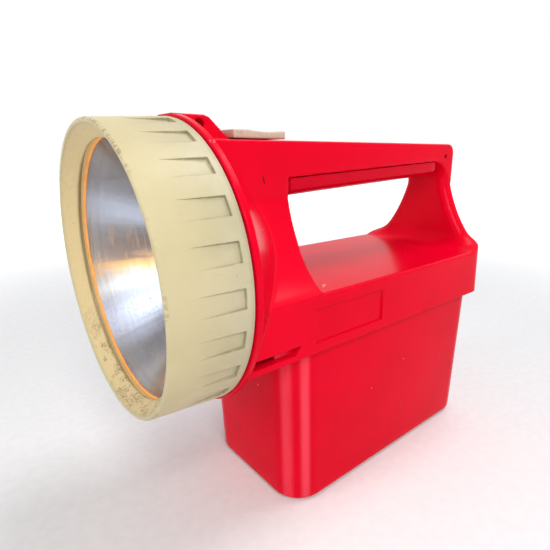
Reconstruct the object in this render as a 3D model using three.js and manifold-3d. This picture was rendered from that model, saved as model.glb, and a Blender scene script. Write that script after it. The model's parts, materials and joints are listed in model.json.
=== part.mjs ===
// Battery lantern torch: a deep case of eight D-size cells under a one-piece upper housing, which
// holds the carrying handle, the slide switch and the lamp head with its screwed bezel ring.
// Millimetres. +Z is up, the beam leaves along -Y, and the origin is the centre of the case's base.
import * as THREE from "three";
import { mergeVertices } from "three/addons/utils/BufferGeometryUtils.js";
import Module from "manifold-3d";

const wasm = await Module();
wasm.setup();

// General walls, fits and cuts
const wall = 2.4;
const seatGap = 0.1;
const runningGap = 0.3;
const overrun = 1;
const sheetMetal = 0.5;

// D-size cells, standing in two rows of four
const cellDiameter = 34.2;
const cellLength = 61.5;
const cellNubRadius = 4.75;
const cellNubHeight = 1.5;
const cellRimChamfer = 1;
const cellGap = 0.2;
const cellEndFit = 0.3;
const cellSideFit = 0.5;
const cellsPerRow = 4;

// Battery case
const caseCornerRadius = 15.4;
const caseBottomRounding = 2.5;
const footHeight = 0.8;
const footRadius = 6;
const footInset = 16;
const gateBossRadius = 9;
const caseVisibleHeight = 82.2;
const caseRimInSkirt = 7.6;
const caseDraft = 0.02;
const plateRibHeight = 5;
const plateRibThickness = 2;
const postRadius = 4.2;
const hookLength = 8.5;
const hookThickness = 2.9;
const hookWidth = 8;
const catchHalfWidth = 11;
const catchReach = 0.25;

// Cell contacts and the board above the cells
const boardThickness = 2;
const boardPlay = 0.6;
const boardCornerRadius = 12;
const plateHalfWidth = 24;
const plateHalfLength = 8.5;
const terminalLength = 14;
const boardScrewRadius = 1.2;
const boardScrewHeadRadius = 3.2;
const boardScrewHeadHeight = 1.8;
const boardScrewLength = 9;

// Skirt and deck of the upper housing
const skirtSideStep = 3.75;
const skirtRearStep = 3.15;
const skirtDraft = 0.8;
const skirtSeamGap = 0.1;
const skirtRearRadius = 11;
const deckAboveCase = 25;
const deckEdgeRounding = 1.6;
const noseReach = 25.5;
const noseFloorGap = 1;
const hookSlotHeight = 3.5;
const hookSlotSlant = 3.3;
const hookSlotEnd = 3.6;
const badgeLength = 43;
const badgeHeight = 14.9;
const badgeRear = 20;
const badgeDepth = 0.7;
const badgeBelowDeck = 5.7;
const stopRibWidth = 2;
const stopRibReach = 5;
const stopRibPitch = 40;

// Pillars and handle
const handleHalfWidth = 15;
const handleRise = 61.3;
const handleEdgeRounding = 1.6;
const handleSideDepth = 15.6;
const handleTaper = 5.5;
const handleRearRounding = 6;
const frontPillarRear = 52.7;
const frontPillarLean = 4.3;
const rearPillarThickness = 8;
const rearPillarFillet = 14;
const rearPillarLean = 9;
const rearPillarCavity = 3;
const flareHeight = 37;
const pillarFootRadius = 5;
const strapHoleRadius = 1.4;
const strapHoleInset = 9;
const strapHoleDrop = 7.5;

// Grip insert that closes the handle's channel
const gripDepth = 9;
const gripInset = 1.2;
const gripWall = 2;
const gripLip = 3;
const gripScrewInset = 14;
const gripScrewRadius = 1.4;
const gripScrewHeadRadius = 2.8;
const gripScrewHeadHeight = 2;
const gripScrewSink = 2.5;
const gripScrewShare = 0.75;
const gripBossRadius = 3.6;

// Lamp head: bowl, flange, spigot and hanging lug
const lampAxisAboveCase = 37.4;
const bowlBackRadius = 22;
const bowlDepth = 31;
const bowlBulge = 1;
const bowlHoleRadius = 15;
const flangeThickness = 2.5;
const flangeOverhang = 0.9;
const spigotWall = 2.2;
const threadHeight = 0.7;
const threadPitch = 4;
const threadWidth = 1.5;
const threadTurns = 1;
const lugHalfThickness = 6.5;
const lugRise = 8.5;
const lugLength = 12;
const lugSlopeLength = 9.3;
const lugHoleRadius = 2;
const lugHoleShare = 0.7;

// Bezel ring, lens, gasket and reflector
const lensRadius = 53;
const lensThickness = 2;
const lensSeat = 4.2;
const gasketThickness = 1;
const gasketWidth = 3.2;
const ringLength = 29;
const ringWallRear = 2.9;
const ringWallFront = 1.3;
const ringLipDepth = 6;
const ringFrontRim = 1.7;
const ringFrontChamfer = 0.4;
const recessCount = 24;
const recessShare = 0.46;
const recessLength = 13;
const recessBand = 3.3;
const recessDepth = 0.9;
const reflectorWall = 0.8;
const reflectorDepth = 46.9;
const reflectorNeckRadius = 9;
const reflectorNeckLength = 6;

// Bulb, its sleeve and its holder
const bulbGlassRadius = 5.5;
const bulbNeckRadius = 3.8;
const bulbCapRadius = 4.85;
const bulbCapLength = 9;
const bulbTipRadius = 1.8;
const bulbTipLength = 1.6;
const sleeveWall = 0.6;
const sleeveFlange = 2.4;
const holderFlange = 2.2;
const holderFlangeThickness = 2;
const holderLength = 9;

// Contact blades and their carrier in the front pillar
const carrierThickness = 2.2;
const carrierHeight = 44;
const bladeWidth = 4;
const bladeSpacing = 5.5;
const bladeBendShare = 1.6;
const sharpestBendShare = 0.5;
const bladeFootLength = 9;
const bladeToeRise = 1.4;
const carrierScrewRadius = 1.2;
const carrierScrewHeadRadius = 2.4;
const screwInsetShare = 0.9;
const carrierScrewHeadHeight = 1.4;
const carrierScrewLength = 3.8;
const carrierHalfWidth = bladeSpacing + bladeWidth / 2 + runningGap
  + carrierScrewHeadRadius * (1 + screwInsetShare);

// Slide switch
const sliderLength = 26;
const sliderHalfWidth = 9;
const sliderHeight = 3.4;
const sliderFrontBlock = 7;
const sliderHollow = 0.6;
const sliderTravel = 8;
const sliderFront = 77;
const stemHalfWidth = 2;
const stemLength = 6;
const shuttleLength = 12;
const shuttleHalfWidth = 9;
const shuttleHeight = 3;
const bridgeLength = 5;
const switchBaseThickness = 2;
const switchBaseMargin = 5.5;
const switchBossRadius = 2.8;
const switchScrewRadius = 1.1;
const switchScrewHeadRadius = 2.2;
const switchScrewHeadHeight = 1.3;

// Facets
const weldDistance = 1e-4;
const roundSteps = 60;
const smallRoundSteps = 18;
const cornerSteps = 5;
const threadSteps = 36;
const gripSteps = 8;
const hollowSteps = 6;
const bowlSteps = 6;
const reflectorSteps = 8;
const flareSteps = 9;
const edgeSteps = 3;

// Places worked out from the sizes
const cellPitch = cellDiameter + cellGap;
const caseHalfLength = (cellsPerRow * cellPitch - cellGap) / 2 + cellEndFit + wall;
const caseHalfWidth = (2 * cellPitch - cellGap) / 2 + cellSideFit + wall;
const caseTop = caseVisibleHeight + caseRimInSkirt;
const plateBottom = wall + plateRibHeight;
const cellBottom = plateBottom + sheetMetal + seatGap;
const cellTop = cellBottom + cellLength;
const topPlateBottom = cellTop + seatGap;
const boardBottom = topPlateBottom + sheetMetal;
const boardTop = boardBottom + boardThickness;
const skirtBottom = caseVisibleHeight + skirtSeamGap;
const deckTop = caseVisibleHeight + deckAboveCase;
const skirtHalfWidth = caseHalfWidth + caseDraft * caseVisibleHeight + skirtSideStep;
const skirtRear = caseHalfLength + caseDraft * caseVisibleHeight + skirtRearStep;
const caseFrontTop = -(caseHalfLength + caseDraft * caseTop);
const flangeRear = caseFrontTop - noseReach;
const flangeFront = flangeRear - flangeThickness;
const noseFloorTop = skirtBottom + wall;
const noseFloorRear = caseFrontTop - noseFloorGap;
const handleTop = deckTop + handleRise;
const handleRear = skirtRear - runningGap;
const handleUnderFront = handleTop - handleSideDepth;
const handleUnderRear = handleUnderFront + handleTaper;
const rearPillarFront = skirtRear - rearPillarThickness;
const flareTop = deckTop + flareHeight;
const lampZ = caseVisibleHeight + lampAxisAboveCase;
const spigotRadius = lensRadius - runningGap;
const ringBore = spigotRadius + threadHeight + runningGap;
const ringRearRadius = ringBore + ringWallRear;
const ringFrontRadius = ringBore + ringWallFront;
const flangeRadius = ringRearRadius + flangeOverhang;
const bowlRimRadius = ringRearRadius;
const ringRear = flangeFront - runningGap;
const ringFront = ringRear - ringLength;
const lensFront = ringFront + ringLipDepth;
const lensBack = lensFront + lensThickness;
const gasketBack = lensBack + seatGap + gasketThickness;
const reflectorRimFront = gasketBack + seatGap;
const spigotFront = reflectorRimFront + reflectorWall + runningGap;
const lensOpening = lensRadius - lensSeat;
const reflectorRadius = spigotRadius - spigotWall - reflectorWall - runningGap;
const reflectorFocus = (reflectorRadius * reflectorRadius) / (4 * reflectorDepth);
const reflectorVertex = reflectorRimFront + reflectorDepth;
const neckStart = reflectorVertex - (reflectorNeckRadius * reflectorNeckRadius) / (4 * reflectorFocus);
const neckBack = neckStart + reflectorNeckLength;
const bulbFocus = reflectorVertex - reflectorFocus;
const holderBack = neckBack + seatGap + holderFlangeThickness;
const sleeveBack = holderBack + seatGap + sheetMetal;
const bulbTipBack = sleeveBack + bulbTipLength;
const pillarInnerRear = -frontPillarRear - frontPillarLean - wall;
const carrierBack = pillarInnerRear - seatGap;
const carrierFront = carrierBack - carrierThickness;
const bladeBack = carrierFront - seatGap;
const carrierBottom = lampZ - carrierHeight / 2;
const carrierTop = lampZ + carrierHeight / 2;
const handleCavityTop = handleTop - wall;
const shuttleTop = handleCavityTop - runningGap;
const shuttleBottom = shuttleTop - shuttleHeight;
const bridgeBottom = shuttleBottom - seatGap - sheetMetal;
const stripTop = bridgeBottom - seatGap;
const switchBaseTop = stripTop - sheetMetal - seatGap;
const switchBaseBottom = switchBaseTop - switchBaseThickness;
const sliderRear = -sliderFront + sliderLength;
const sliderMiddle = -sliderFront + sliderLength / 2;
const sliderBottom = handleTop + runningGap;
const shuttleFront = sliderMiddle - shuttleLength / 2;
const shuttleRear = sliderMiddle + shuttleLength / 2 + sliderTravel;
const switchBossFront = shuttleFront - switchBossRadius - runningGap;
const switchBossRear = shuttleRear + switchBossRadius + runningGap;
const gripFront = -frontPillarRear + runningGap;
const gripRear = rearPillarFront - rearPillarLean;

// Finishes
function finish(color, roughness, metalness = 0) {
  return () => new THREE.MeshStandardMaterial({ color, roughness, metalness });
}
const redPlastic = finish(0xd40a1c, 0.22);
const creamPlastic = finish(0xd8cda0, 0.45);
const pinkCreamPlastic = finish(0xd9b9a4, 0.5);
const clearLens = finish(0xe8f0f2, 0.05);
const greyRubber = finish(0x3a3a38, 0.8);
const brightMetal = finish(0xd8d8d4, 0.18, 1);
const brassMetal = finish(0xc2a050, 0.35, 1);
const steelMetal = finish(0x8c8f92, 0.4, 1);
const boardBrown = finish(0x6b4a2c, 0.7);
const blackPlastic = finish(0x1d1d1f, 0.5);
const cellJacket = finish(0x34506e, 0.5);

// Solids from closed geometries, and back
function solidOf(geometry) {
  const bare = geometry.clone();
  bare.deleteAttribute("normal");
  bare.deleteAttribute("uv");
  const merged = mergeVertices(bare, weldDistance);
  return new wasm.Manifold(
    new wasm.Mesh({
      numProp: 3,
      vertProperties: merged.attributes.position.array,
      triVerts: new Uint32Array(merged.index.array),
    }),
  );
}

function geometryOf(solid) {
  const found = solid.getMesh();
  const geometry = new THREE.BufferGeometry();
  geometry.setAttribute("position", new THREE.BufferAttribute(found.vertProperties, 3));
  geometry.setIndex(new THREE.BufferAttribute(found.triVerts, 1));
  const flat = geometry.toNonIndexed();
  flat.computeVertexNormals();
  return flat;
}

function joined(...solids) {
  return solids.reduce((sum, solid) => sum.add(solid));
}

function cut(body, ...tools) {
  return tools.reduce((left, tool) => left.subtract(tool), body);
}

// A solid through rings of as many points each; the flat end rings are closed by triangles.
const flatten = {
  x: (p) => new THREE.Vector2(p.y, p.z),
  y: (p) => new THREE.Vector2(p.x, p.z),
  z: (p) => new THREE.Vector2(p.x, p.y),
};

// Triangles over one end ring, turned the way its points run; without an axis the ring is a quad
function capTriangles(ring, axis) {
  if (!axis) return [[0, 1, 2], [0, 2, 3]];
  const flat = ring.map(flatten[axis]);
  const found = THREE.ShapeUtils.triangulateShape(flat, []);
  const runs = ([a, b, c]) => flat[b].clone().sub(flat[a]).cross(flat[c].clone().sub(flat[a]));
  const along = THREE.ShapeUtils.area(flat) > 0;
  return found.map((t) => (runs(t) > 0 === along ? t : [t[0], t[2], t[1]]));
}

function loft(rings, axis) {
  const count = rings[0].length;
  const points = rings.flat();
  const faces = [];
  for (let ring = 0; ring < rings.length - 1; ring++) {
    for (let i = 0; i < count; i++) {
      const a = ring * count + i;
      const b = ring * count + ((i + 1) % count);
      faces.push([a, b, b + count], [a, b + count, a + count]);
    }
  }
  const lastStart = (rings.length - 1) * count;
  for (const [a, b, c] of capTriangles(rings[0], axis)) {
    faces.push([a, c, b], [a + lastStart, b + lastStart, c + lastStart]);
  }
  let volume = 0;
  for (const [a, b, c] of faces) {
    volume += points[a].dot(points[b].clone().cross(points[c]));
  }
  const outward = volume > 0 ? faces : faces.map(([a, b, c]) => [a, c, b]);
  const geometry = new THREE.BufferGeometry().setFromPoints(points);
  geometry.setIndex(outward.flat());
  return solidOf(geometry);
}

// An outline of pairs, swept straight along one axis. The pairs are (y, z), (x, z) or (x, y).
const place = {
  x: ([a, b], at) => new THREE.Vector3(at, a, b),
  y: ([a, b], at) => new THREE.Vector3(a, at, b),
  z: ([a, b], at) => new THREE.Vector3(a, b, at),
};

function prism(outline, axis, from, to) {
  return loft([from, to].map((at) => outline.map((pair) => place[axis](pair, at))), axis);
}

function box(x0, x1, y0, y1, z0, z1) {
  const geometry = new THREE.BoxGeometry(x1 - x0, y1 - y0, z1 - z0);
  geometry.translate((x0 + x1) / 2, (y0 + y1) / 2, (z0 + z1) / 2);
  return solidOf(geometry);
}

function circle(radius, steps, [a, b] = [0, 0]) {
  return Array.from({ length: steps }, (_, i) => {
    const angle = (2 * Math.PI * i) / steps;
    return [a + radius * Math.cos(angle), b + radius * Math.sin(angle)];
  });
}

function rod(radius, axis, from, to, centre, steps = smallRoundSteps) {
  return prism(circle(radius, steps, centre), axis, from, to);
}

// A body of revolution about the lamp's axis, from pairs (radius, y)
function turnedAboutLamp(profile, steps = roundSteps) {
  const geometry = new THREE.LatheGeometry(profile.map(([r, y]) => new THREE.Vector2(r, y)), steps);
  geometry.translate(0, 0, lampZ);
  return outwardSolid(geometry);
}

// A solid from a closed geometry whose faces may all point inwards
function outwardSolid(geometry) {
  const bare = geometry.clone();
  bare.deleteAttribute("normal");
  bare.deleteAttribute("uv");
  const merged = mergeVertices(bare, weldDistance);
  const corner = (i) => new THREE.Vector3().fromBufferAttribute(merged.attributes.position, i);
  const used = Array.from(merged.index.array);
  const faces = [];
  let volume = 0;
  for (let i = 0; i < used.length; i += 3) {
    const [a, b, c] = used.slice(i, i + 3);
    if (a === b || b === c || a === c) continue;
    faces.push([a, b, c]);
    volume += corner(a).dot(corner(b).cross(corner(c)));
  }
  merged.setIndex((volume > 0 ? faces : faces.map(([a, b, c]) => [a, c, b])).flat());
  return solidOf(merged);
}

// Outlines
function arc([a, b], radius, from, to, steps) {
  return Array.from({ length: steps + 1 }, (_, i) => {
    const angle = from + ((to - from) * i) / steps;
    return [a + radius * Math.cos(angle), b + radius * Math.sin(angle)];
  });
}

function roundedRect(halfX, lowY, highY, frontRadius, rearRadius) {
  const quarter = Math.PI / 2;
  return [
    ...arc([halfX - rearRadius, highY - rearRadius], rearRadius, 0, quarter, cornerSteps),
    ...arc([rearRadius - halfX, highY - rearRadius], rearRadius, quarter, 2 * quarter, cornerSteps),
    ...arc([frontRadius - halfX, lowY + frontRadius], frontRadius, 2 * quarter, 3 * quarter, cornerSteps),
    ...arc([halfX - frontRadius, lowY + frontRadius], frontRadius, 3 * quarter, 4 * quarter, cornerSteps),
  ];
}

function levelRing(outline, z) {
  return outline.map(([x, y]) => new THREE.Vector3(x, y, z));
}

// Steps of a rounded edge, from the face at its start to the face at its end
function roundingSteps(radius, steps) {
  return Array.from({ length: steps + 1 }, (_, i) => {
    const angle = (Math.PI / 2) * (i / steps);
    return [radius * (1 - Math.sin(angle)), radius * (1 - Math.cos(angle))];
  });
}

// Battery case
function caseOutline(z, inset) {
  const halfWidth = caseHalfWidth + caseDraft * z - inset;
  const halfLength = caseHalfLength + caseDraft * z - inset;
  const radius = Math.max(caseCornerRadius - inset, wall);
  return levelRing(roundedRect(halfWidth, -halfLength, halfLength, radius, radius), z);
}

function makeBatteryCase() {
  const bottom = roundingSteps(caseBottomRounding, edgeSteps).map(([inset, z]) => caseOutline(z + footHeight, inset));
  const outside = loft([...bottom, caseOutline(caseTop, 0)], "z");
  const inside = loft([caseOutline(wall, wall), caseOutline(caseTop + overrun, wall)], "z");
  let body = cut(outside, inside);
  const ribEnd = caseHalfLength - wall / 2;
  for (const side of [-1, 1]) {
    const x = side * cellPitch / 2;
    const rib = box(x - plateRibThickness / 2, x + plateRibThickness / 2, -ribEnd, ribEnd, wall / 2, plateBottom);
    const post = cut(
      rod(postRadius, "z", wall / 2, boardBottom - seatGap, [0, side * cellPitch]),
      rod(boardScrewRadius + seatGap, "z", boardBottom - boardScrewLength - overrun, boardBottom + overrun,
        [0, side * cellPitch]),
    );
    body = joined(body, rib, post);
  }
  const gateBoss = rod(gateBossRadius, "z", 0, wall - seatGap, [0, 0]);
  return joined(body, gateBoss, ...makeHooks(), makeCatchNib());
}

// Soft feet under the case's corners, level with the boss in its middle
function makeFoot() {
  return rod(footRadius, "z", 0, footHeight - seatGap, [0, 0]);
}

// Two hooks on the case's front wall, which lie over the floor of the housing's nose
function makeHooks() {
  const low = noseFloorTop + runningGap;
  const outerX = skirtHalfWidth - wall - runningGap;
  const rootY = caseFrontTop + caseCornerRadius;
  return [-1, 1].map((side) => {
    const edges = [side * (outerX - hookWidth), side * outerX].sort((a, b) => a - b);
    return cut(
      box(edges[0], edges[1], noseFloorRear - hookLength, rootY, low, low + hookThickness),
      loft([caseOutline(wall, wall / 2), caseOutline(caseTop + overrun, wall / 2)], "z"),
    );
  });
}

// The rear catch, a low nib behind the window in the skirt's rear wall
function makeCatchNib() {
  const low = noseFloorTop + runningGap;
  const face = caseHalfLength + caseDraft * low;
  return box(-catchHalfWidth, catchHalfWidth, face - wall / 2, face + catchReach, low, low + hookThickness);
}

// Cells, standing with alternate ends up so that each row is in series
function makeCell(up) {
  const r = cellDiameter / 2;
  const body = cellLength - cellNubHeight;
  const profile = [
    [0, 0],
    [r - cellRimChamfer, 0],
    [r, cellRimChamfer],
    [r, body - cellRimChamfer],
    [r - cellRimChamfer, body],
    [cellNubRadius, body],
    [cellNubRadius, cellLength],
    [0, cellLength],
  ];
  const geometry = new THREE.LatheGeometry(profile.map(([a, b]) => new THREE.Vector2(a, b)), smallRoundSteps);
  geometry.rotateX(up ? Math.PI / 2 : -Math.PI / 2);
  if (!up) geometry.translate(0, 0, cellLength);
  return outwardSolid(geometry);
}

const cellPlaces = [-1, 1].flatMap((side) =>
  Array.from({ length: cellsPerRow }, (_, i) => ({
    x: (side * cellPitch) / 2,
    y: (i - (cellsPerRow - 1) / 2) * cellPitch,
    up: i % 2 === 0,
  })),
);

// Contact plates: each lies across both rows and over one or two cells of each
function makePlate(fromCell, toCell, low) {
  const startY = cellPlaces[fromCell].y - plateHalfLength;
  const endY = cellPlaces[toCell].y + plateHalfLength;
  let plate = box(-plateHalfWidth, plateHalfWidth, startY, endY, low, low + sheetMetal);
  for (const y of [-cellPitch, cellPitch]) {
    plate = cut(plate, rod(postRadius + runningGap, "z", low - overrun, low + sheetMetal + overrun, [0, y]));
  }
  return plate;
}

function makeContactBoard() {
  const halfX = caseHalfWidth + caseDraft * boardBottom - wall - boardPlay;
  const halfY = caseHalfLength + caseDraft * boardBottom - wall - boardPlay;
  let board = prism(roundedRect(halfX, -halfY, halfY, boardCornerRadius, boardCornerRadius), "z",
    boardBottom, boardTop);
  for (const y of [-cellPitch, cellPitch]) {
    board = cut(board, rod(boardScrewRadius + seatGap, "z", boardBottom - overrun, boardTop + overrun, [0, y]));
  }
  return board;
}

const terminalFront = cellPlaces[0].y - terminalLength / 2;

// The two strips on the board's top, which the blades press on
function makePlusStrip() {
  return box(-bladeWidth / 2, bladeWidth / 2, terminalFront, terminalFront + terminalLength, boardTop, boardTop + sheetMetal);
}

function makeMinusStrip() {
  return box(bladeSpacing - bladeWidth / 2, bladeSpacing + bladeWidth / 2, terminalFront, cellPlaces[cellsPerRow - 1].y, boardTop, boardTop + sheetMetal);
}

function makeScrew(radius, headRadius, headHeight, length) {
  const turned = [
    [0, -length],
    [radius, -length],
    [radius, 0],
    [headRadius, 0],
    [headRadius, headHeight / 2],
    [headRadius / 2, headHeight],
    [0, headHeight],
  ];
  const geometry = new THREE.LatheGeometry(turned.map(([r, y]) => new THREE.Vector2(r, y)), smallRoundSteps / 2);
  geometry.rotateX(Math.PI / 2);
  return outwardSolid(geometry);
}

// The concave flare that both pillars follow, from the deck's edge up to the handle's side
const flareSpread = { foot: 1, low: 0.55, high: 0.17, top: 0 };
const flareRiseShares = { foot: 0, low: 0.11, high: 0.6, top: 1 };

function flareCurve(inset, steps) {
  const edge = skirtHalfWidth - skirtDraft;
  const at = (key) => new THREE.Vector2(
    handleHalfWidth + (edge - handleHalfWidth) * flareSpread[key],
    deckTop + flareHeight * flareRiseShares[key],
  );
  const curve = new THREE.CubicBezierCurve(at("foot"), at("low"), at("high"), at("top"));
  return Array.from({ length: steps + 1 }, (_, i) => {
    const point = curve.getPoint(i / steps);
    const tangent = curve.getTangent(i / steps);
    return [point.x - inset * Math.abs(tangent.y), point.y - inset * Math.abs(tangent.x)];
  });
}

function pillarOutline(inset, low, high) {
  const right = flareCurve(inset, flareSteps);
  const foot = skirtHalfWidth - skirtDraft - inset;
  const top = handleHalfWidth - inset;
  const half = [[foot, low], ...right, [top, high]];
  return [...half, ...half.map(([x, z]) => [-x, z]).reverse()];
}

function frontPillarRearAt(z) {
  const drop = (handleTop - z) / handleRise;
  return -frontPillarRear - frontPillarLean * Math.min(Math.max(drop, 0), 1);
}

function makeFrontPillar(inset, frontY, low, high) {
  const outline = pillarOutline(inset, low, high);
  const front = outline.map(([x, z]) => new THREE.Vector3(x, frontY, z));
  const rear = outline.map(([x, z]) => new THREE.Vector3(x, frontPillarRearAt(z) - inset, z));
  return loft([front, rear], "y");
}

// Skirt and deck
function skirtOutline(z, inset) {
  const rearRadius = Math.max(skirtRearRadius - inset, wall / 2);
  return levelRing(
    roundedRect(skirtHalfWidth - inset, flangeRear + inset, skirtRear - inset, wall / 2, rearRadius), z);
}

function makeSkirt() {
  const edge = roundingSteps(deckEdgeRounding, edgeSteps).map(([inset, z]) =>
    skirtOutline(deckTop - z, skirtDraft + inset)).reverse();
  return loft([skirtOutline(skirtBottom, 0), ...edge], "z");
}

function makeSkirtCavity() {
  return loft([
    skirtOutline(skirtBottom - overrun, wall),
    skirtOutline(deckTop - wall, wall + skirtDraft),
  ], "z");
}

// Handle: side outline (y, z), from the bowl to the rear corner and back under the grip
function handleOutline(inset) {
  const top = handleTop - inset;
  const rear = handleRear - inset;
  const radius = Math.max(handleRearRounding - inset, wall / 2);
  const filletCentre = [gripRear, handleUnderRear - rearPillarFillet];
  const shoulder = arc(filletCentre, rearPillarFillet, Math.PI / 2, Math.PI / 6, 4);
  const [lastY] = shoulder[shoulder.length - 1];
  return [
    [flangeRear, top],
    ...arc([rear - radius, top - radius], radius, Math.PI / 2, 0, cornerSteps),
    [rear, flareTop - handleSideDepth],
    [Math.min(lastY + rearPillarLean / 2, rear - wall), flareTop - handleSideDepth],
    ...shoulder.reverse(),
    [-frontPillarRear - wall, handleUnderFront],
    [-frontPillarRear - wall, flareTop - handleSideDepth],
    [flangeRear, flareTop - handleSideDepth],
  ];
}

function makeHandle() {
  const steps = roundingSteps(handleEdgeRounding, edgeSteps);
  const rings = [
    ...[...steps].reverse().map(([inset, x]) => [inset, -handleHalfWidth + x]).sort((a, b) => a[1] - b[1]),
    ...steps.map(([inset, x]) => [inset, handleHalfWidth - x]).sort((a, b) => a[1] - b[1]),
  ];
  return loft(rings.map(([inset, x]) => handleOutline(inset).map(([y, z]) => new THREE.Vector3(x, y, z))), "x");
}

function makeRearPillar() {
  const outline = pillarOutline(0, deckTop - wall, handleTop - handleRearRounding);
  const plate = prism(outline, "y", rearPillarFront, skirtRear);
  const plan = loft([skirtOutline(deckTop - wall - overrun, 0), skirtOutline(handleTop, skirtDraft)], "z");
  return plate.intersect(plan);
}

// The quarter-round foot where the rear pillar meets the deck
function makePillarFoot() {
  const r = pillarFootRadius * 2;
  const centre = [rearPillarFront - r, deckTop + r];
  const outline = [
    [rearPillarFront + wall / 2, deckTop - wall / 2],
    [rearPillarFront + wall / 2, deckTop + r],
    ...arc(centre, r, 0, -Math.PI / 2, cornerSteps),
    [rearPillarFront - r, deckTop - wall / 2],
  ];
  const halfX = skirtHalfWidth - skirtDraft - deckEdgeRounding;
  return prism(outline, "x", -halfX, halfX).intersect(
    prism(pillarOutline(0, deckTop - wall, flareTop), "y", rearPillarFront - 2 * r, skirtRear));
}

// Bowl of the lamp head, straight-sided with a slight bulge
function bowlProfile(inset) {
  const back = flangeRear + bowlDepth - inset * Math.SQRT2;
  return Array.from({ length: bowlSteps + 1 }, (_, i) => {
    const share = i / bowlSteps;
    const bulge = bowlBulge * 4 * share * (1 - share);
    return [
      bowlBackRadius + (bowlRimRadius - bowlBackRadius) * share + bulge - inset * share,
      back + (flangeRear - back) * share + bulge,
    ];
  });
}

function makeBowlOutside() {
  const profile = bowlProfile(0);
  return turnedAboutLamp([
    [0, profile[0][1]],
    ...profile,
    [flangeRadius, flangeRear],
    [flangeRadius, flangeFront],
    [spigotRadius, flangeFront],
    [spigotRadius, spigotFront],
    [0, spigotFront],
  ]);
}

function makeBowlInside() {
  const inner = spigotRadius - spigotWall;
  const profile = bowlProfile(wall).filter(([r, y]) => r < inner - wall / 2 && y > flangeFront);
  return turnedAboutLamp([
    [0, profile[0][1]],
    ...profile,
    [inner, flangeFront],
    [inner, spigotFront - overrun],
    [0, spigotFront - overrun],
  ]);
}

// One helical ridge about the lamp's axis, right-handed towards the front
function makeThread(rootRadius, crestRadius, startY, turns) {
  const steps = Math.round(threadSteps * turns);
  const root = threadWidth / 2;
  const crest = threadWidth / 4;
  const rings = Array.from({ length: steps + 1 }, (_, i) => {
    const angle = (2 * Math.PI * i) / threadSteps;
    const y = startY - (threadPitch * i) / threadSteps;
    const point = (r, dy) =>
      new THREE.Vector3(r * Math.cos(angle), y + dy, lampZ + r * Math.sin(angle));
    return [point(rootRadius, -root), point(crestRadius, -crest), point(crestRadius, crest), point(rootRadius, root)];
  });
  return loft(rings);
}

// Lug on top of the flange, with the hole that the torch hangs by
const lugTop = lampZ + flangeRadius;
const lugRear = flangeRear + lugLength;

function makeLug() {
  const foot = handleTop - wall;
  const outline = [
    [flangeFront, foot],
    [flangeFront, lugTop],
    [lugRear, lugTop],
    [lugRear + lugSlopeLength, handleTop],
    [lugRear + lugSlopeLength, foot],
  ];
  return prism(outline, "x", -lugHalfThickness, lugHalfThickness);
}

function makeLugHole() {
  const centre = [flangeRear + lugLength * lugHoleShare, (lugTop + handleTop) / 2 + lugHoleRadius / 2];
  return rod(lugHoleRadius, "x", -lugHalfThickness - overrun, lugHalfThickness + overrun, centre);
}

// Windows of the hooks in both sides of the nose, with a slanted rear end, and of the catch behind
function makeHookWindows() {
  const rearLow = noseFloorRear + hookSlotEnd - hookSlotSlant;
  const outline = [
    [flangeRear + wall, noseFloorTop],
    [rearLow, noseFloorTop],
    [rearLow + hookSlotSlant, noseFloorTop + hookSlotHeight],
    [flangeRear + wall, noseFloorTop + hookSlotHeight],
  ];
  const reach = skirtHalfWidth + overrun;
  const sides = prism(outline, "x", -reach, reach);
  const rear = box(-catchHalfWidth - runningGap, catchHalfWidth + runningGap,
    skirtRear - wall - overrun, skirtRear + overrun, noseFloorTop, noseFloorTop + hookSlotHeight);
  return joined(sides, rear);
}

function makeBadgeRecesses() {
  const top = deckTop - badgeBelowDeck;
  const lean = skirtDraft * (top - badgeHeight / 2 - skirtBottom) / deckAboveCase;
  const depth = skirtHalfWidth - lean - badgeDepth;
  const sides = [-1, 1].map((side) => {
    const edges = [side * depth, side * (skirtHalfWidth + overrun)].sort((a, b) => a - b);
    return box(edges[0], edges[1], -badgeRear - badgeLength, -badgeRear, top - badgeHeight, top);
  });
  return joined(...sides);
}

// Ribs under the deck that stand on the case's rim
function makeStopRibs() {
  const low = caseTop + runningGap;
  const ribs = [];
  for (const side of [-1, 1]) {
    for (const y of [-stopRibPitch, 0, stopRibPitch]) {
      const edges = [side * (skirtHalfWidth - wall / 2 - skirtDraft), side * (skirtHalfWidth - wall - stopRibReach)];
      edges.sort((a, b) => a - b);
      ribs.push(box(edges[0], edges[1], y, y + stopRibWidth, low, deckTop - wall / 2));
    }
    const x = side * stopRibPitch / 3;
    ribs.push(box(x - stopRibWidth / 2, x + stopRibWidth / 2, skirtRear - wall - stopRibReach,
      skirtRear - wall / 2 - skirtDraft, low, deckTop - wall / 2));
  }
  return joined(...ribs);
}

const gripBottomAt = (y) => handleUnderFront - gripDepth
  + ((y - gripFront) / (gripRear - gripFront)) * handleTaper;
const gripScrewPlaces = [gripFront + gripScrewInset, gripRear - gripScrewInset];
const gripPostTopAt = (y) => gripBottomAt(y) + gripScrewSink + gripWall;
const switchBossPlaces = [switchBossFront, switchBossRear];

function makeBosses() {
  const grip = gripScrewPlaces.map((y) => cut(
    rod(gripBossRadius, "z", gripPostTopAt(y) + runningGap, handleTop - wall / 2, [0, y]),
    rod(gripScrewRadius + seatGap, "z", gripBottomAt(y), handleCavityTop - runningGap, [0, y]),
  ));
  const switchBosses = switchBossPlaces.map((y) => cut(
    rod(switchBossRadius, "z", switchBaseTop + seatGap, handleTop - wall / 2, [0, y]),
    rod(switchScrewRadius + seatGap, "z", switchBaseTop, handleTop - wall - runningGap, [0, y]),
  ));
  return joined(...grip, ...switchBosses);
}

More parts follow.
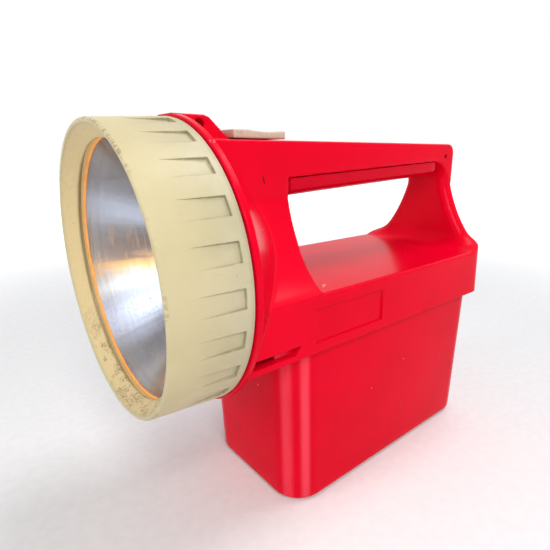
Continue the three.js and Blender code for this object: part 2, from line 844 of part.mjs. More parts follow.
function makeUpperHousing() {
  const bowlOutside = makeBowlOutside();
  const outside = joined(
    makeSkirt(),
    makeFrontPillar(0, flangeRear, deckTop - wall, handleTop - handleEdgeRounding * 2),
    makeRearPillar(),
    makePillarFoot(),
    makeHandle(),
    makeLug(),
  );
  const channel = box(-handleHalfWidth + wall, handleHalfWidth - wall, flangeRear + wall,
    gripRear - wall, handleUnderFront - overrun, handleCavityTop);
  const pillarHollow = makeFrontPillar(wall, flangeRear + wall, deckTop - wall - overrun,
    handleUnderFront + runningGap);
  const rearHollow = prism(pillarOutline(wall, deckTop - wall - overrun, flareTop), "y",
    rearPillarFront + (rearPillarThickness - rearPillarCavity) / 2,
    skirtRear - (rearPillarThickness - rearPillarCavity) / 2)
    .intersect(loft([skirtOutline(skirtBottom, wall), skirtOutline(handleTop, wall + skirtDraft)], "z"));
  const noseFloor = box(-skirtHalfWidth, skirtHalfWidth, flangeRear, noseFloorRear,
    skirtBottom - 2 * overrun, noseFloorTop);
  const skirtCavity = cut(makeSkirtCavity(), noseFloor);
  const hollows = cut(joined(skirtCavity, pillarHollow, rearHollow, channel), bowlOutside);
  let body = joined(cut(outside, hollows), bowlOutside);
  const cavities = joined(makeSkirtCavity(), channel);
  body = joined(body, cut(makeBosses(), bowlOutside), makeStopRibs().intersect(joined(makeSkirt(), cavities)));
  const stemSlot = box(-stemHalfWidth - runningGap, stemHalfWidth + runningGap,
    sliderMiddle - stemLength / 2 - runningGap, sliderMiddle + stemLength / 2 + sliderTravel + runningGap,
    handleCavityTop - overrun, handleTop + overrun);
  const strapHole = rod(strapHoleRadius, "x", -handleHalfWidth - overrun, handleHalfWidth + overrun,
    [handleRear - strapHoleInset, handleTop - strapHoleDrop], smallRoundSteps / 2);
  const bulbHole = rod(bowlHoleRadius, "y", flangeFront, flangeRear + bowlDepth + overrun, [0, lampZ]);
  body = cut(body, makeBowlInside(), bulbHole, stemSlot, strapHole, makeLugHole(), makeBadgeRecesses(),
    cut(makeHookWindows(), bowlOutside));
  return joined(body, cut(makeThread(spigotRadius - wall / 4, spigotRadius + threadHeight,
    flangeFront - threadPitch, threadTurns), makeBowlInside()));
}

// Grip insert: a trough under the handle, with lips inside the handle's channel
function gripSection(y, inset, mouth) {
  const half = handleHalfWidth - gripInset - inset;
  const low = gripBottomAt(y) + inset;
  const side = handleUnderFront + ((y - gripFront) / (gripRear - gripFront)) * handleTaper;
  const round = side - runningGap - gripDepth / 2;
  const bottom = Array.from({ length: gripSteps + 1 }, (_, i) => {
    const angle = Math.PI + (Math.PI * i) / gripSteps;
    return [half * Math.cos(angle), round + (round - low) * Math.sin(angle)];
  });
  const top = side - runningGap + mouth;
  return [[half, top], [-half, top], ...bottom].map(([x, z]) => new THREE.Vector3(x, y, z));
}

function makeGripInsert() {
  const outside = loft([gripSection(gripFront, 0, 0), gripSection(gripRear, 0, 0)], "y");
  const inside = loft([gripSection(gripFront + gripWall, gripWall, overrun),
    gripSection(gripRear - gripWall, gripWall, overrun)], "y");
  let body = cut(outside, inside);
  for (const side of [-1, 1]) {
    const outer = handleHalfWidth - wall - runningGap;
    const edges = [side * outer, side * (outer - gripWall)].sort((a, b) => a - b);
    const low = handleUnderFront - gripDepth / 2;
    body = joined(body, box(edges[0], edges[1], gripFront + gripWall + wall, gripFront + gripWall + wall
      + gripScrewInset * 2, low, handleUnderFront + gripLip));
  }
  for (const y of gripScrewPlaces) {
    const low = gripBottomAt(y);
    const headRadius = gripScrewHeadRadius + runningGap;
    const post = rod(headRadius + gripWall, "z", low - overrun, gripPostTopAt(y), [0, y]).intersect(outside);
    body = cut(joined(body, post),
      rod(gripScrewRadius + seatGap, "z", low - overrun, gripPostTopAt(y) + overrun, [0, y]),
      rod(headRadius, "z", low - gripDepth, low + gripScrewSink, [0, y]));
  }
  return body;
}

// Bezel ring: an outer skin with recesses for the fingers, a lens shoulder and its own thread
function makeBezelRing() {
  const lipStart = lensFront - seatGap;
  let body = turnedAboutLamp([
    [ringRearRadius, ringRear],
    [ringFrontRadius + seatGap, ringFront + wall / 2],
    [ringFrontRadius - ringFrontChamfer, ringFront],
    [ringFrontRadius - ringFrontRim, ringFront],
    [lensOpening, lipStart - wall / 3],
    [lensOpening, lipStart],
    [ringBore, lipStart],
    [ringBore, ringRear],
    [ringRearRadius, ringRear],
  ]);
  const floorRadius = ringRearRadius - recessDepth
    - ((ringWallRear - ringWallFront) * recessBand) / ringLength;
  const angle = (Math.PI / recessCount) * recessShare;
  const half = floorRadius * Math.tan(angle);
  for (let i = 0; i < recessCount; i++) {
    const recess = new THREE.BoxGeometry(2 * half, recessLength, 2 * recessDepth);
    recess.translate(0, ringRear - recessBand - recessLength / 2, floorRadius + recessDepth);
    recess.rotateY((2 * Math.PI * i) / recessCount);
    recess.translate(0, 0, lampZ);
    body = cut(body, solidOf(recess));
  }
  return joined(body, makeThread(ringBore + wall / 4, spigotRadius + runningGap,
    flangeFront - threadPitch / 2, threadTurns / 2));
}

function makeLens() {
  return turnedAboutLamp([[0, lensFront], [lensRadius, lensFront], [lensRadius, lensBack], [0, lensBack]]);
}

function makeLampRing(innerRadius, outerRadius, front, back) {
  return turnedAboutLamp([
    [innerRadius, front],
    [outerRadius, front],
    [outerRadius, back],
    [innerRadius, back],
    [innerRadius, front],
  ]);
}

function makeReflector() {
  const bowl = (wallOut) => Array.from({ length: reflectorSteps + 1 }, (_, i) => {
    const r = reflectorRadius + (reflectorNeckRadius - reflectorRadius) * (i / reflectorSteps);
    return [r + wallOut, reflectorVertex - (r * r) / (4 * reflectorFocus)];
  });
  const rimOuter = spigotRadius;
  const inner = bowl(0);
  const outer = bowl(reflectorWall).reverse();
  const profile = [
    ...inner,
    [reflectorNeckRadius, neckBack],
    [reflectorNeckRadius + reflectorWall, neckBack],
    ...outer.slice(0, -1).map(([r, y]) => [r, Math.max(y, reflectorRimFront)]),
    [reflectorRadius + reflectorWall, reflectorRimFront + reflectorWall],
    [rimOuter, reflectorRimFront + reflectorWall],
    [rimOuter, reflectorRimFront],
    inner[0],
  ];
  return turnedAboutLamp(profile, smallRoundSteps * 2);
}

const sleeveRadius = bulbCapRadius + seatGap + sleeveWall;

function makeBulbHolder() {
  const bore = sleeveRadius + seatGap;
  const barrel = reflectorNeckRadius - seatGap;
  return turnedAboutLamp([
    [bore, holderBack - holderFlangeThickness - holderLength + wall],
    [barrel, holderBack - holderFlangeThickness - holderLength + wall],
    [barrel, neckBack + seatGap],
    [barrel + holderFlange, neckBack + seatGap],
    [barrel + holderFlange, holderBack],
    [bore, holderBack],
    [bore, holderBack - holderFlangeThickness - holderLength + wall],
  ], smallRoundSteps);
}

function makeBulbSleeve() {
  const front = sleeveBack - bulbCapLength;
  return turnedAboutLamp([
    [bulbCapRadius + seatGap, front],
    [sleeveRadius, front],
    [sleeveRadius, holderBack + seatGap],
    [sleeveRadius + sleeveFlange, holderBack + seatGap],
    [sleeveRadius + sleeveFlange, sleeveBack],
    [bulbCapRadius + seatGap, sleeveBack],
    [bulbCapRadius + seatGap, front],
  ], smallRoundSteps);
}

const capFront = sleeveBack - bulbCapLength - wall / 2;

function makeBulbCap() {
  return turnedAboutLamp([
    [0, capFront],
    [bulbCapRadius, capFront],
    [bulbCapRadius, sleeveBack - wall / 2],
    [bulbTipRadius, sleeveBack],
    [0, sleeveBack],
  ], smallRoundSteps);
}

function makeBulbTip() {
  return turnedAboutLamp([
    [0, sleeveBack],
    [bulbTipRadius, sleeveBack],
    [bulbTipRadius / 2, bulbTipBack],
    [0, bulbTipBack],
  ], smallRoundSteps / 2);
}

function makeBulbGlass() {
  const profile = arc([0, bulbFocus], bulbGlassRadius, -Math.PI / 2, Math.PI / 4, 8);
  return turnedAboutLamp([...profile, [bulbNeckRadius, capFront], [0, capFront]], smallRoundSteps);
}

// Carrier plate on the rear wall of the front pillar, and the blades that it holds
const bladePlaces = { sleeve: -bladeSpacing, feed: bladeSpacing };
const footLevel = boardTop + sheetMetal + seatGap;

function makeBladeCarrier() {
  let plate = box(-carrierHalfWidth, carrierHalfWidth, carrierFront, carrierBack, carrierBottom, carrierTop);
  for (const x of carrierScrewPlaces) {
    plate = cut(plate, rod(carrierScrewRadius + seatGap, "y", carrierFront - overrun, carrierBack + overrun,
      [x, carrierScrewLevel]));
  }
  return plate;
}

const carrierScrewLevel = carrierBottom + carrierScrewHeadRadius * 2;
const carrierScrewPlaces = [-1, 1].map((side) => side * (carrierHalfWidth - carrierScrewHeadRadius * screwInsetShare));

// A strip of sheet metal along a line of (y, z) points, as wide as a blade
function makeStrip(points, x, width = bladeWidth) {
  const left = [];
  const right = [];
  points.forEach(([y, z], i) => {
    const [py, pz] = points[Math.max(i - 1, 0)];
    const [ny, nz] = points[Math.min(i + 1, points.length - 1)];
    const along = new THREE.Vector2(ny - py, nz - pz).normalize();
    const before = new THREE.Vector2(y - py, z - pz).normalize();
    const reach = i > 0 && i < points.length - 1 ? 1 / Math.max(along.dot(before), sharpestBendShare) : 1;
    const across = [-along.y * reach * sheetMetal / 2, along.x * reach * sheetMetal / 2];
    left.push([y + across[0], z + across[1]]);
    right.push([y - across[0], z - across[1]]);
  });
  return prism([...left, ...right.reverse()], "x", x - width / 2, x + width / 2);
}

const stripY = bladeBack - sheetMetal / 2;
const stripFoot = [
  [stripY + bladeFootLength + bladeToeRise, footLevel + sheetMetal / 2 + bladeToeRise],
  [stripY + bladeFootLength, footLevel + sheetMetal / 2],
  [stripY + bladeToeRise * 2, footLevel + sheetMetal / 2],
  [stripY, footLevel + bladeToeRise * 2],
];

function makeLampBlade() {
  const touch = bulbTipBack + runningGap + sheetMetal / 2;
  return makeStrip([
    ...stripFoot,
    [stripY, lampZ - bladeSpacing * bladeBendShare],
    [touch, lampZ - bulbTipRadius],
    [touch, lampZ + bulbTipRadius],
  ], 0);
}

function makeSleeveBlade() {
  const touch = sleeveBack + runningGap + sheetMetal / 2;
  return makeStrip([
    [touch, lampZ - bulbTipRadius],
    [touch, lampZ + bulbTipRadius],
    [stripY, lampZ + bladeSpacing * bladeBendShare],
    ...switchEnd,
  ], bladePlaces.sleeve);
}

const switchEnd = [
  [stripY, stripTop - sheetMetal / 2],
  [shuttleFront, stripTop - sheetMetal / 2],
];

function makeFeedBlade() {
  return makeStrip([...stripFoot, ...switchEnd], bladePlaces.feed);
}

// Slide switch
function makeSwitchSlider() {
  const top = sliderBottom + sliderHeight;
  const front = -sliderFront;
  const blockEnd = front + sliderFrontBlock;
  const hollow = Array.from({ length: hollowSteps + 1 }, (_, i) => {
    const share = i / hollowSteps;
    return [blockEnd + (sliderRear - blockEnd) * share, top - sliderHollow * 4 * share * (1 - share)];
  });
  const outline = [[front, sliderBottom], [front, top], [blockEnd, top], ...hollow.slice(1), [sliderRear, sliderBottom]];
  const pad = prism(outline, "x", -sliderHalfWidth, sliderHalfWidth);
  const stem = box(-stemHalfWidth, stemHalfWidth, sliderMiddle - stemLength / 2, sliderMiddle + stemLength / 2,
    shuttleTop + seatGap, sliderBottom + wall / 2);
  return joined(pad, stem);
}

function makeShuttle() {
  return box(-shuttleHalfWidth, shuttleHalfWidth, sliderMiddle - shuttleLength / 2, sliderMiddle + shuttleLength / 2,
    shuttleBottom, shuttleTop);
}

function makeBridge() {
  return box(-shuttleHalfWidth, shuttleHalfWidth, sliderMiddle - bridgeLength / 2, sliderMiddle + bridgeLength / 2,
    bridgeBottom, shuttleBottom - seatGap);
}

function makeSwitchBase() {
  let plate = box(-handleHalfWidth + wall + runningGap, handleHalfWidth - wall - runningGap,
    switchBossFront - switchBossRadius, switchBossRear + switchBossRadius, switchBaseBottom, switchBaseTop);
  for (const y of switchBossPlaces) {
    plate = cut(plate, rod(switchScrewRadius + seatGap, "z", switchBaseBottom - overrun, switchBaseTop + overrun,
      [0, y]));
  }
  for (const x of [bladePlaces.sleeve, bladePlaces.feed]) {
    plate = cut(plate, box(x - bladeWidth / 2 - runningGap, x + bladeWidth / 2 + runningGap,
      stripY - sheetMetal - runningGap, stripY + sheetMetal + runningGap,
      switchBaseBottom - overrun, switchBaseTop + overrun));
  }
  return plate;
}

// The assembly, one named mesh for each piece
const torch = new THREE.Group();

function addPiece(name, solid, material, group = torch, at = [0, 0, 0]) {
  const mesh = new THREE.Mesh(geometryOf(solid), material());
  mesh.name = name;
  mesh.position.set(...at);
  group.add(mesh);
  return mesh;
}

const caseGroup = new THREE.Group();
const housingGroup = new THREE.Group();
const sliderGroup = new THREE.Group();
const lampGroup = new THREE.Group();
torch.add(caseGroup, housingGroup);
housingGroup.add(sliderGroup, lampGroup);

addPiece("battery_case", makeBatteryCase(), redPlastic, caseGroup);
cellPlaces.forEach(({ x, y, up }, i) => {
  addPiece(`battery_cell_${i + 1}`, makeCell(up), cellJacket, caseGroup, [x, y, cellBottom]);
});
const footX = caseHalfWidth - footInset;
const footY = caseHalfLength - footInset;
const footPlaces = [[footX, -footY], [-footX, -footY], [footX, footY], [-footX, footY]];
footPlaces.forEach(([x, y], i) => {
  addPiece(`foot_${i + 1}`, makeFoot(), greyRubber, caseGroup, [x, y, 0]);
});
addPiece("bottom_plate_front", makePlate(0, 1, plateBottom), brassMetal, caseGroup);
addPiece("bottom_plate_rear", makePlate(2, 3, plateBottom), brassMetal, caseGroup);
addPiece("top_plate_plus", makePlate(0, 0, topPlateBottom), brassMetal, caseGroup);
addPiece("top_plate_link", makePlate(1, 2, topPlateBottom), brassMetal, caseGroup);
addPiece("top_plate_minus", makePlate(3, 3, topPlateBottom), brassMetal, caseGroup);
addPiece("contact_board", makeContactBoard(), boardBrown, caseGroup);
addPiece("plus_strip", makePlusStrip(), brassMetal, caseGroup);
addPiece("minus_strip", makeMinusStrip(), brassMetal, caseGroup);
["front", "rear"].forEach((end, i) => {
  const y = (i * 2 - 1) * cellPitch;
  const screw = makeScrew(boardScrewRadius, boardScrewHeadRadius, boardScrewHeadHeight,
    boardScrewLength);
  addPiece(`board_screw_${end}`, screw, steelMetal, caseGroup, [0, y, boardTop + seatGap]);
});

addPiece("upper_housing", makeUpperHousing(), redPlastic, housingGroup);
addPiece("grip_insert", makeGripInsert(), redPlastic, housingGroup);
const gripScrewSeats = gripScrewPlaces.map((y) => gripBottomAt(y) + gripScrewSink - seatGap);
const gripScrewLength = (handleCavityTop - Math.max(...gripScrewSeats)) * gripScrewShare;
["front", "rear"].forEach((end, i) => {
  const screw = makeScrew(gripScrewRadius, gripScrewHeadRadius, gripScrewHeadHeight, gripScrewLength);
  const mesh = addPiece(`grip_screw_${end}`, screw, steelMetal, housingGroup,
    [0, gripScrewPlaces[i], gripScrewSeats[i]]);
  mesh.rotation.x = Math.PI;
});
addPiece("blade_carrier", makeBladeCarrier(), blackPlastic, housingGroup);
["left", "right"].forEach((end, i) => {
  const screw = makeScrew(carrierScrewRadius, carrierScrewHeadRadius, carrierScrewHeadHeight,
    carrierScrewLength);
  const mesh = addPiece(`carrier_screw_${end}`, screw, steelMetal, housingGroup,
    [carrierScrewPlaces[i], carrierFront - seatGap, carrierScrewLevel]);
  mesh.rotation.x = Math.PI / 2;
});
addPiece("lamp_blade", makeLampBlade(), brassMetal, housingGroup);
addPiece("sleeve_blade", makeSleeveBlade(), brassMetal, housingGroup);
addPiece("feed_blade", makeFeedBlade(), brassMetal, housingGroup);
addPiece("switch_base", makeSwitchBase(), boardBrown, housingGroup);
["front", "rear"].forEach((end, i) => {
  const screw = makeScrew(switchScrewRadius, switchScrewHeadRadius, switchScrewHeadHeight,
    switchBaseThickness + wall);
  const mesh = addPiece(`switch_screw_${end}`, screw, steelMetal, housingGroup,
    [0, switchBossPlaces[i], switchBaseBottom - seatGap]);
  mesh.rotation.x = Math.PI;
});

addPiece("switch_slider", makeSwitchSlider(), pinkCreamPlastic, sliderGroup);
addPiece("switch_shuttle", makeShuttle(), blackPlastic, sliderGroup);
addPiece("switch_bridge", makeBridge(), brassMetal, sliderGroup);

addPiece("bezel_ring", makeBezelRing(), creamPlastic, lampGroup);
addPiece("lens", makeLens(), clearLens, lampGroup);
addPiece("lens_gasket", makeLampRing(lensRadius - gasketWidth, lensRadius, lensBack + seatGap, gasketBack),
  greyRubber, lampGroup);
addPiece("reflector", makeReflector(), brightMetal, lampGroup);
addPiece("bulb_holder", makeBulbHolder(), blackPlastic, lampGroup);
addPiece("bulb_sleeve", makeBulbSleeve(), brassMetal, lampGroup);
addPiece("bulb_cap", makeBulbCap(), brassMetal, lampGroup);
addPiece("bulb_tip", makeBulbTip(), steelMetal, lampGroup);
addPiece("bulb_glass", makeBulbGlass(), clearLens, lampGroup);

export default torch;
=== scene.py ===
import json
import math
from functools import partialmethod

import bmesh
import bpy
import numpy as np
from mathutils import Matrix, Vector


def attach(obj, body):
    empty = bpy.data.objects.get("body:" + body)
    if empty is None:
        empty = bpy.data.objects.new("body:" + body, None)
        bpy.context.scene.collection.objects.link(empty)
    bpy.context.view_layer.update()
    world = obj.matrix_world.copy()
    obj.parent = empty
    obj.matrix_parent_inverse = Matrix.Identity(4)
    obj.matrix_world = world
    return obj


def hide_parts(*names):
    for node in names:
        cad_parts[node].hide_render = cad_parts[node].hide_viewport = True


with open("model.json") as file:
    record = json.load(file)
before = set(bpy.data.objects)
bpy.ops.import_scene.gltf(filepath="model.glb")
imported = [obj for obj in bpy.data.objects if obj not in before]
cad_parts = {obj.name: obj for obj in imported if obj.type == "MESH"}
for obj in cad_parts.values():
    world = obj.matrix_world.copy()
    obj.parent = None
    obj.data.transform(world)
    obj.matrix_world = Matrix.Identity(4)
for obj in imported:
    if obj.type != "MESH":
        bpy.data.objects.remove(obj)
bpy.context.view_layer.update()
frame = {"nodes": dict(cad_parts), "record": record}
nodes = frame["nodes"]
unit = 0.001
perMetre = 1000
lampHeight = 119.6

# Steps round bosses, small bores and the bowl; then how far cutters run past a face, and a hair's breadth
roundSteps = 48
smallSteps = 24
ringSteps = 96
overrun = 1
sliver = 0.01


# Node trees: a wire carries one output and takes part in sums
class Wire:
    def __init__(self, tree, socket):
        self.tree = tree
        self.socket = socket

    def math(self, operation, *others):
        return self.tree.node("ShaderNodeMath", {"operation": operation}, [self, *others])

    def __rsub__(self, other):
        return self.tree.node("ShaderNodeMath", {"operation": "SUBTRACT"}, [other, self])

    __add__ = __radd__ = partialmethod(math, "ADD")
    __sub__ = partialmethod(math, "SUBTRACT")
    __mul__ = partialmethod(math, "MULTIPLY")
    __truediv__ = partialmethod(math, "DIVIDE")
    __pow__ = partialmethod(math, "POWER")
    __neg__ = partialmethod(math, "MULTIPLY", -1.0)
    __abs__ = partialmethod(math, "ABSOLUTE")
    least = partialmethod(math, "MINIMUM")
    most = partialmethod(math, "MAXIMUM")

    # 0 below low, 1 above high, and smooth between them
    def ramp(self, low, high, to=(0.0, 1.0)):
        return self.tree.node("ShaderNodeMapRange", {"interpolation_type": "SMOOTHSTEP"},
                              [self, low, high, to[0], to[1]])

    # 1 below low and 0 above high
    def fade(self, low, high):
        return 1 - self.ramp(low, high)


class Tree:
    def __init__(self, nodeTree):
        self.nodeTree = nodeTree

    # Settings are written before the sockets, because they decide which sockets there are
    def node(self, kind, settings=None, values=None, output=0):
        made = self.nodeTree.nodes.new(kind)
        for key, value in (settings or {}).items():
            setattr(made, key, value)
        listed = values.items() if isinstance(values, dict) else enumerate(values or [])
        for key, value in listed:
            if value is None:
                continue
            target = made.inputs[key]
            if isinstance(value, Wire):
                self.nodeTree.links.new(value.socket, target)
            else:
                target.default_value = value
        return Wire(self, made.outputs[output] if made.outputs else None)

    # The same with its inputs named, an underline standing for a space
    def made(self, kind, settings=None, **values):
        return self.node(kind, settings, {key.replace("_", " "): value for key, value in values.items()})

    def vector(self, x, y, z):
        return self.node("ShaderNodeCombineXYZ", None, [x, y, z])


class Finish(Tree):
    def __init__(self, name):
        self.material = bpy.data.materials.new(name)
        self.material.use_nodes = True
        self.material.node_tree.nodes.clear()
        super().__init__(self.material.node_tree)
        self.place = self.node("ShaderNodeTexCoord", output="Object")
        split = self.node("ShaderNodeSeparateXYZ", None, [self.place])
        self.x, self.y, self.z = (Wire(self, each) * perMetre for each in split.socket.node.outputs)

    # Object coordinates in millimetres, stretched by a factor on each axis
    def stretched(self, factors):
        scale = [perMetre * factor for factor in factors]
        return self.node("ShaderNodeVectorMath", {"operation": "MULTIPLY"}, [self.place, scale])

    def noiseAt(self, vector, detail, rough=0.5):
        return self.made("ShaderNodeTexNoise", Vector=vector, Scale=1.0, Detail=detail, Roughness=rough)

    def noise(self, grain, detail, rough=0.5, factors=(1, 1, 1)):
        return self.noiseAt(self.stretched([f / grain for f in factors]), detail, rough)

    # 1 inside scattered specks of about that radius, which fill the given share of the cells
    def specks(self, cell, radius, share):
        place = self.stretched([1 / cell] * 3)
        near = self.node("ShaderNodeTexVoronoi", None, {"Vector": place, "Scale": 1.0}, "Distance")
        colour = Wire(self, near.socket.node.outputs["Color"])
        chosen = self.node("ShaderNodeSeparateColor", None, [colour]).math("LESS_THAN", share)
        return chosen * near.fade(radius / cell * 0.6, radius / cell)

    def blend(self, factor, first, second, mode="MIX"):
        made = self.node("ShaderNodeMix", {"data_type": "RGBA", "blend_type": mode, "clamp_factor": True})
        inner = made.socket.node
        for key, value in ((0, factor), (6, first), (7, second)):
            if isinstance(value, Wire):
                self.nodeTree.links.new(value.socket, inner.inputs[key])
            else:
                inner.inputs[key].default_value = rgb(*value) if isinstance(value, tuple) else value
        return Wire(self, inner.outputs[2])

    def bump(self, height, distance, strength=1.0, normal=None):
        return self.made("ShaderNodeBump", Height=height, Distance=distance * unit, Strength=strength,
                         Normal=normal)

    def edges(self, radius):
        return self.made("ShaderNodeBevel", {"samples": 6}, Radius=radius * unit)

    # Distance in millimetres from a point, then from a line between two points
    def pointDistance(self, x, y, z):
        return ((self.x - x) ** 2 + (self.y - y) ** 2 + (self.z - z) ** 2) ** 0.5

    def lineDistance(self, start, end):
        a, b = Vector(start), Vector(end)
        along = b - a
        length = along.length
        unitAlong = along / length
        dx, dy, dz = self.x - a.x, self.y - a.y, self.z - a.z
        t = (dx * unitAlong.x + dy * unitAlong.y + dz * unitAlong.z).most(0).least(length)
        gap = [d - t * u for d, u in zip((dx, dy, dz), unitAlong)]
        return (gap[0] * gap[0] + gap[1] * gap[1] + gap[2] * gap[2]) ** 0.5

    # Height over the lamp's axis and distance from it, in millimetres
    def fromAxis(self):
        rise = self.z - lampHeight
        return rise, (self.x * self.x + rise * rise) ** 0.5

    def surface(self, **values):
        return self.made("ShaderNodeBsdfPrincipled", **values)

    def done(self, shader):
        self.made("ShaderNodeOutputMaterial", Surface=shader)
        return self.material

    def painted(self, **values):
        return self.done(self.surface(**values))


def rgb(red, green, blue):
    return (red, green, blue, 1.0)


# A Geometry Nodes tree with a geometry in and out, and named inputs
class Shaping(Tree):
    kinds = {float: "NodeSocketFloat", int: "NodeSocketInt"}

    def __init__(self, name, values):
        super().__init__(bpy.data.node_groups.new(name, "GeometryNodeTree"))
        face = self.nodeTree.interface
        face.new_socket("Geometry", in_out="OUTPUT", socket_type="NodeSocketGeometry")
        face.new_socket("Geometry", in_out="INPUT", socket_type="NodeSocketGeometry")
        self.keys = {key: face.new_socket(key, in_out="INPUT", socket_type=self.kinds[type(value)]).identifier
                     for key, value in values.items()}
        self.values = values
        self.entry = self.nodeTree.nodes.new("NodeGroupInput")

    def given(self, name):
        return Wire(self, self.entry.outputs[name])

    def moved(self, geometry, **values):
        return self.node("GeometryNodeTransform", None, {"Geometry": geometry, **values})

    def realized(self, geometry):
        return self.node("GeometryNodeRealizeInstances", None, [geometry])

    # Sets the inputs, then turns the evaluated result into the piece's own mesh
    def shape(self, piece, result, material):
        result = self.made("GeometryNodeSetMaterial", Geometry=result, Material=material)
        self.node("NodeGroupOutput", None, [result])
        modifier = piece.modifiers.new("shaping", "NODES")
        modifier.node_group = self.nodeTree
        for key, value in self.values.items():
            modifier[self.keys[key]] = value
        return dress(settle(piece), material)


# Meshes, in millimetres until they become objects
def objectOf(name, points, faces, material=None):
    mesh = bpy.data.meshes.new(name)
    mesh.from_pydata([tuple(p) for p in np.asarray(points, float) * unit], [], [tuple(f) for f in faces])
    mesh.update()
    piece = bpy.data.objects.new(name, mesh)
    bpy.context.scene.collection.objects.link(piece)
    if material:
        mesh.materials.append(material)
    return piece


def outwards(piece):
    work = bmesh.new()
    work.from_mesh(piece.data)
    bmesh.ops.recalc_face_normals(work, faces=work.faces)
    work.to_mesh(piece.data)
    work.free()
    return piece


# A closed skin through rings of the same count, capped at both ends
def lofted(name, rings, material=None, caps=True):
    rings = np.asarray(rings, float)
    count, around = rings.shape[:2]
    start = np.arange(count - 1)[:, None] * around
    step = np.arange(around)
    after = (step + 1) % around
    faces = np.stack([start + step, start + after, start + around + after, start + around + step], -1)
    faces = [tuple(f) for f in faces.reshape(-1, 4)]
    if caps:
        faces += [tuple(range(around))[::-1], tuple(range((count - 1) * around, count * around))]
    return outwards(objectOf(name, rings.reshape(-1, 3), faces, material))


# A body of revolution about the lamp's axis from (radius, y) pairs; radius 0 closes it
def turned(name, profile, steps, material=None):
    angles = np.linspace(0, 2 * np.pi, steps, endpoint=False)
    points, rows = [], []
    for radius, y in profile:
        if radius < 1e-6:
            rows.append([len(points)] * steps)
            points.append((0, y, lampHeight))
            continue
        rows.append([len(points) + i for i in range(steps)])
        points += [(radius * math.cos(a), y, lampHeight + radius * math.sin(a)) for a in angles]
    faces = []
    closed = rows[0][0] != rows[0][1]
    pairs = list(zip(rows, rows[1:] + rows[:1])) if closed else list(zip(rows, rows[1:]))
    for a, b in pairs:
        for i in range(steps):
            j = (i + 1) % steps
            quad = [a[i], a[j], b[j], b[i]]
            face = [v for k, v in enumerate(quad) if v != quad[k - 1]]
            faces.append(tuple(face))
    return outwards(objectOf(name, points, faces, material))


def prism(name, outline, axis, low, high, material=None):
    rings = []
    for level in (low, high):
        ring = [list(p) for p in outline]
        for p in ring:
            p.insert(axis, level)
        rings.append(ring)
    return lofted(name, rings, material)


def block(name, low, high, material=None):
    outline = [(low[0], low[1]), (high[0], low[1]), (high[0], high[1]), (low[0], high[1])]
    return prism(name, outline, 2, low[2], high[2], material)


def disc(radius, centre, steps=32):
    angles = np.linspace(0, 2 * np.pi, steps, endpoint=False)
    return [(centre[0] + radius * math.cos(a), centre[1] + radius * math.sin(a)) for a in angles]


def settle(piece):
    bpy.context.view_layer.update()
    depsgraph = bpy.context.evaluated_depsgraph_get()
    made = bpy.data.meshes.new_from_object(piece.evaluated_get(depsgraph))
    old = piece.data
    piece.modifiers.clear()
    piece.data = made
    bpy.data.meshes.remove(old)
    return piece


# One material all over
def dress(piece, material):
    piece.data.materials.clear()
    if material:
        piece.data.materials.append(material)
    piece.data.polygons.foreach_set("material_index", np.zeros(len(piece.data.polygons), np.int32))
    return piece


def combine(piece, cutters, operation="DIFFERENCE"):
    for cutter in cutters:
        modifier = piece.modifiers.new("combine", "BOOLEAN")
        modifier.operation = operation
        modifier.solver = "MANIFOLD"
        modifier.object = cutter
    own = piece.data.materials[0] if piece.data.materials else None
    settle(piece)
    for cutter in cutters:
        bpy.data.objects.remove(cutter)
    return dress(piece, own)


# A row of equal blocks or posts, such as ribs and bosses; start is the middle of the first
def rowOf(name, count, start, step, size, material, upright=False):
    values = {"Count": count}
    for key, place in (("Start", start), ("Step", step), ("Size", size)):
        values.update({key + " " + axis: float(number) * unit for axis, number in zip("XYZ", place)})
    tree = Shaping(name, values)
    begin, apart, extent = (tree.vector(*[tree.given(key + " " + axis) for axis in "XYZ"])
                            for key in ("Start", "Step", "Size"))
    line = tree.made("GeometryNodeMeshLine", {"mode": "OFFSET"}, Count=tree.given("Count"),
                     Start_Location=begin, Offset=apart)
    if upright:
        shape = tree.made("GeometryNodeMeshCylinder", {"fill_type": "NGON"}, Vertices=roundSteps,
                          Radius=tree.given("Size X") / 2, Depth=tree.given("Size Z"))
    else:
        shape = tree.made("GeometryNodeMeshCube", Size=extent)
    row = tree.made("GeometryNodeInstanceOnPoints", Points=line, Instance=shape)
    return tree.shape(objectOf(name, [], []), tree.realized(row), material)


def smooth(piece, degrees):
    mesh = piece.data
    mesh.shade_smooth()
    mesh.set_sharp_from_angle(angle=math.radians(degrees))
    return piece


# Fields: signed distances in millimetres, negative inside
def roundJoin(a, b, radius):
    gap = np.hypot(np.maximum(radius - a, 0), np.maximum(radius - b, 0))
    return np.maximum(radius, np.minimum(a, b)) - gap


def roundCommon(a, b, radius):
    return -roundJoin(-a, -b, radius)


def bezierTable(points, count=300):
    t = np.linspace(0, 1, count)[:, None]
    a, b, c, d = [np.array(p, float) for p in points]
    return (1 - t) ** 3 * a + 3 * t * (1 - t) ** 2 * b + 3 * t ** 2 * (1 - t) * c + t ** 3 * d


def fieldSlope(field, points, reach=0.05):
    at = points.T
    slope = np.empty_like(points)
    for axis in range(3):
        shift = np.zeros((3, 1))
        shift[axis] = reach
        slope[:, axis] = (field(*(at + shift)) - field(*(at - shift))) / (2 * reach)
    return slope


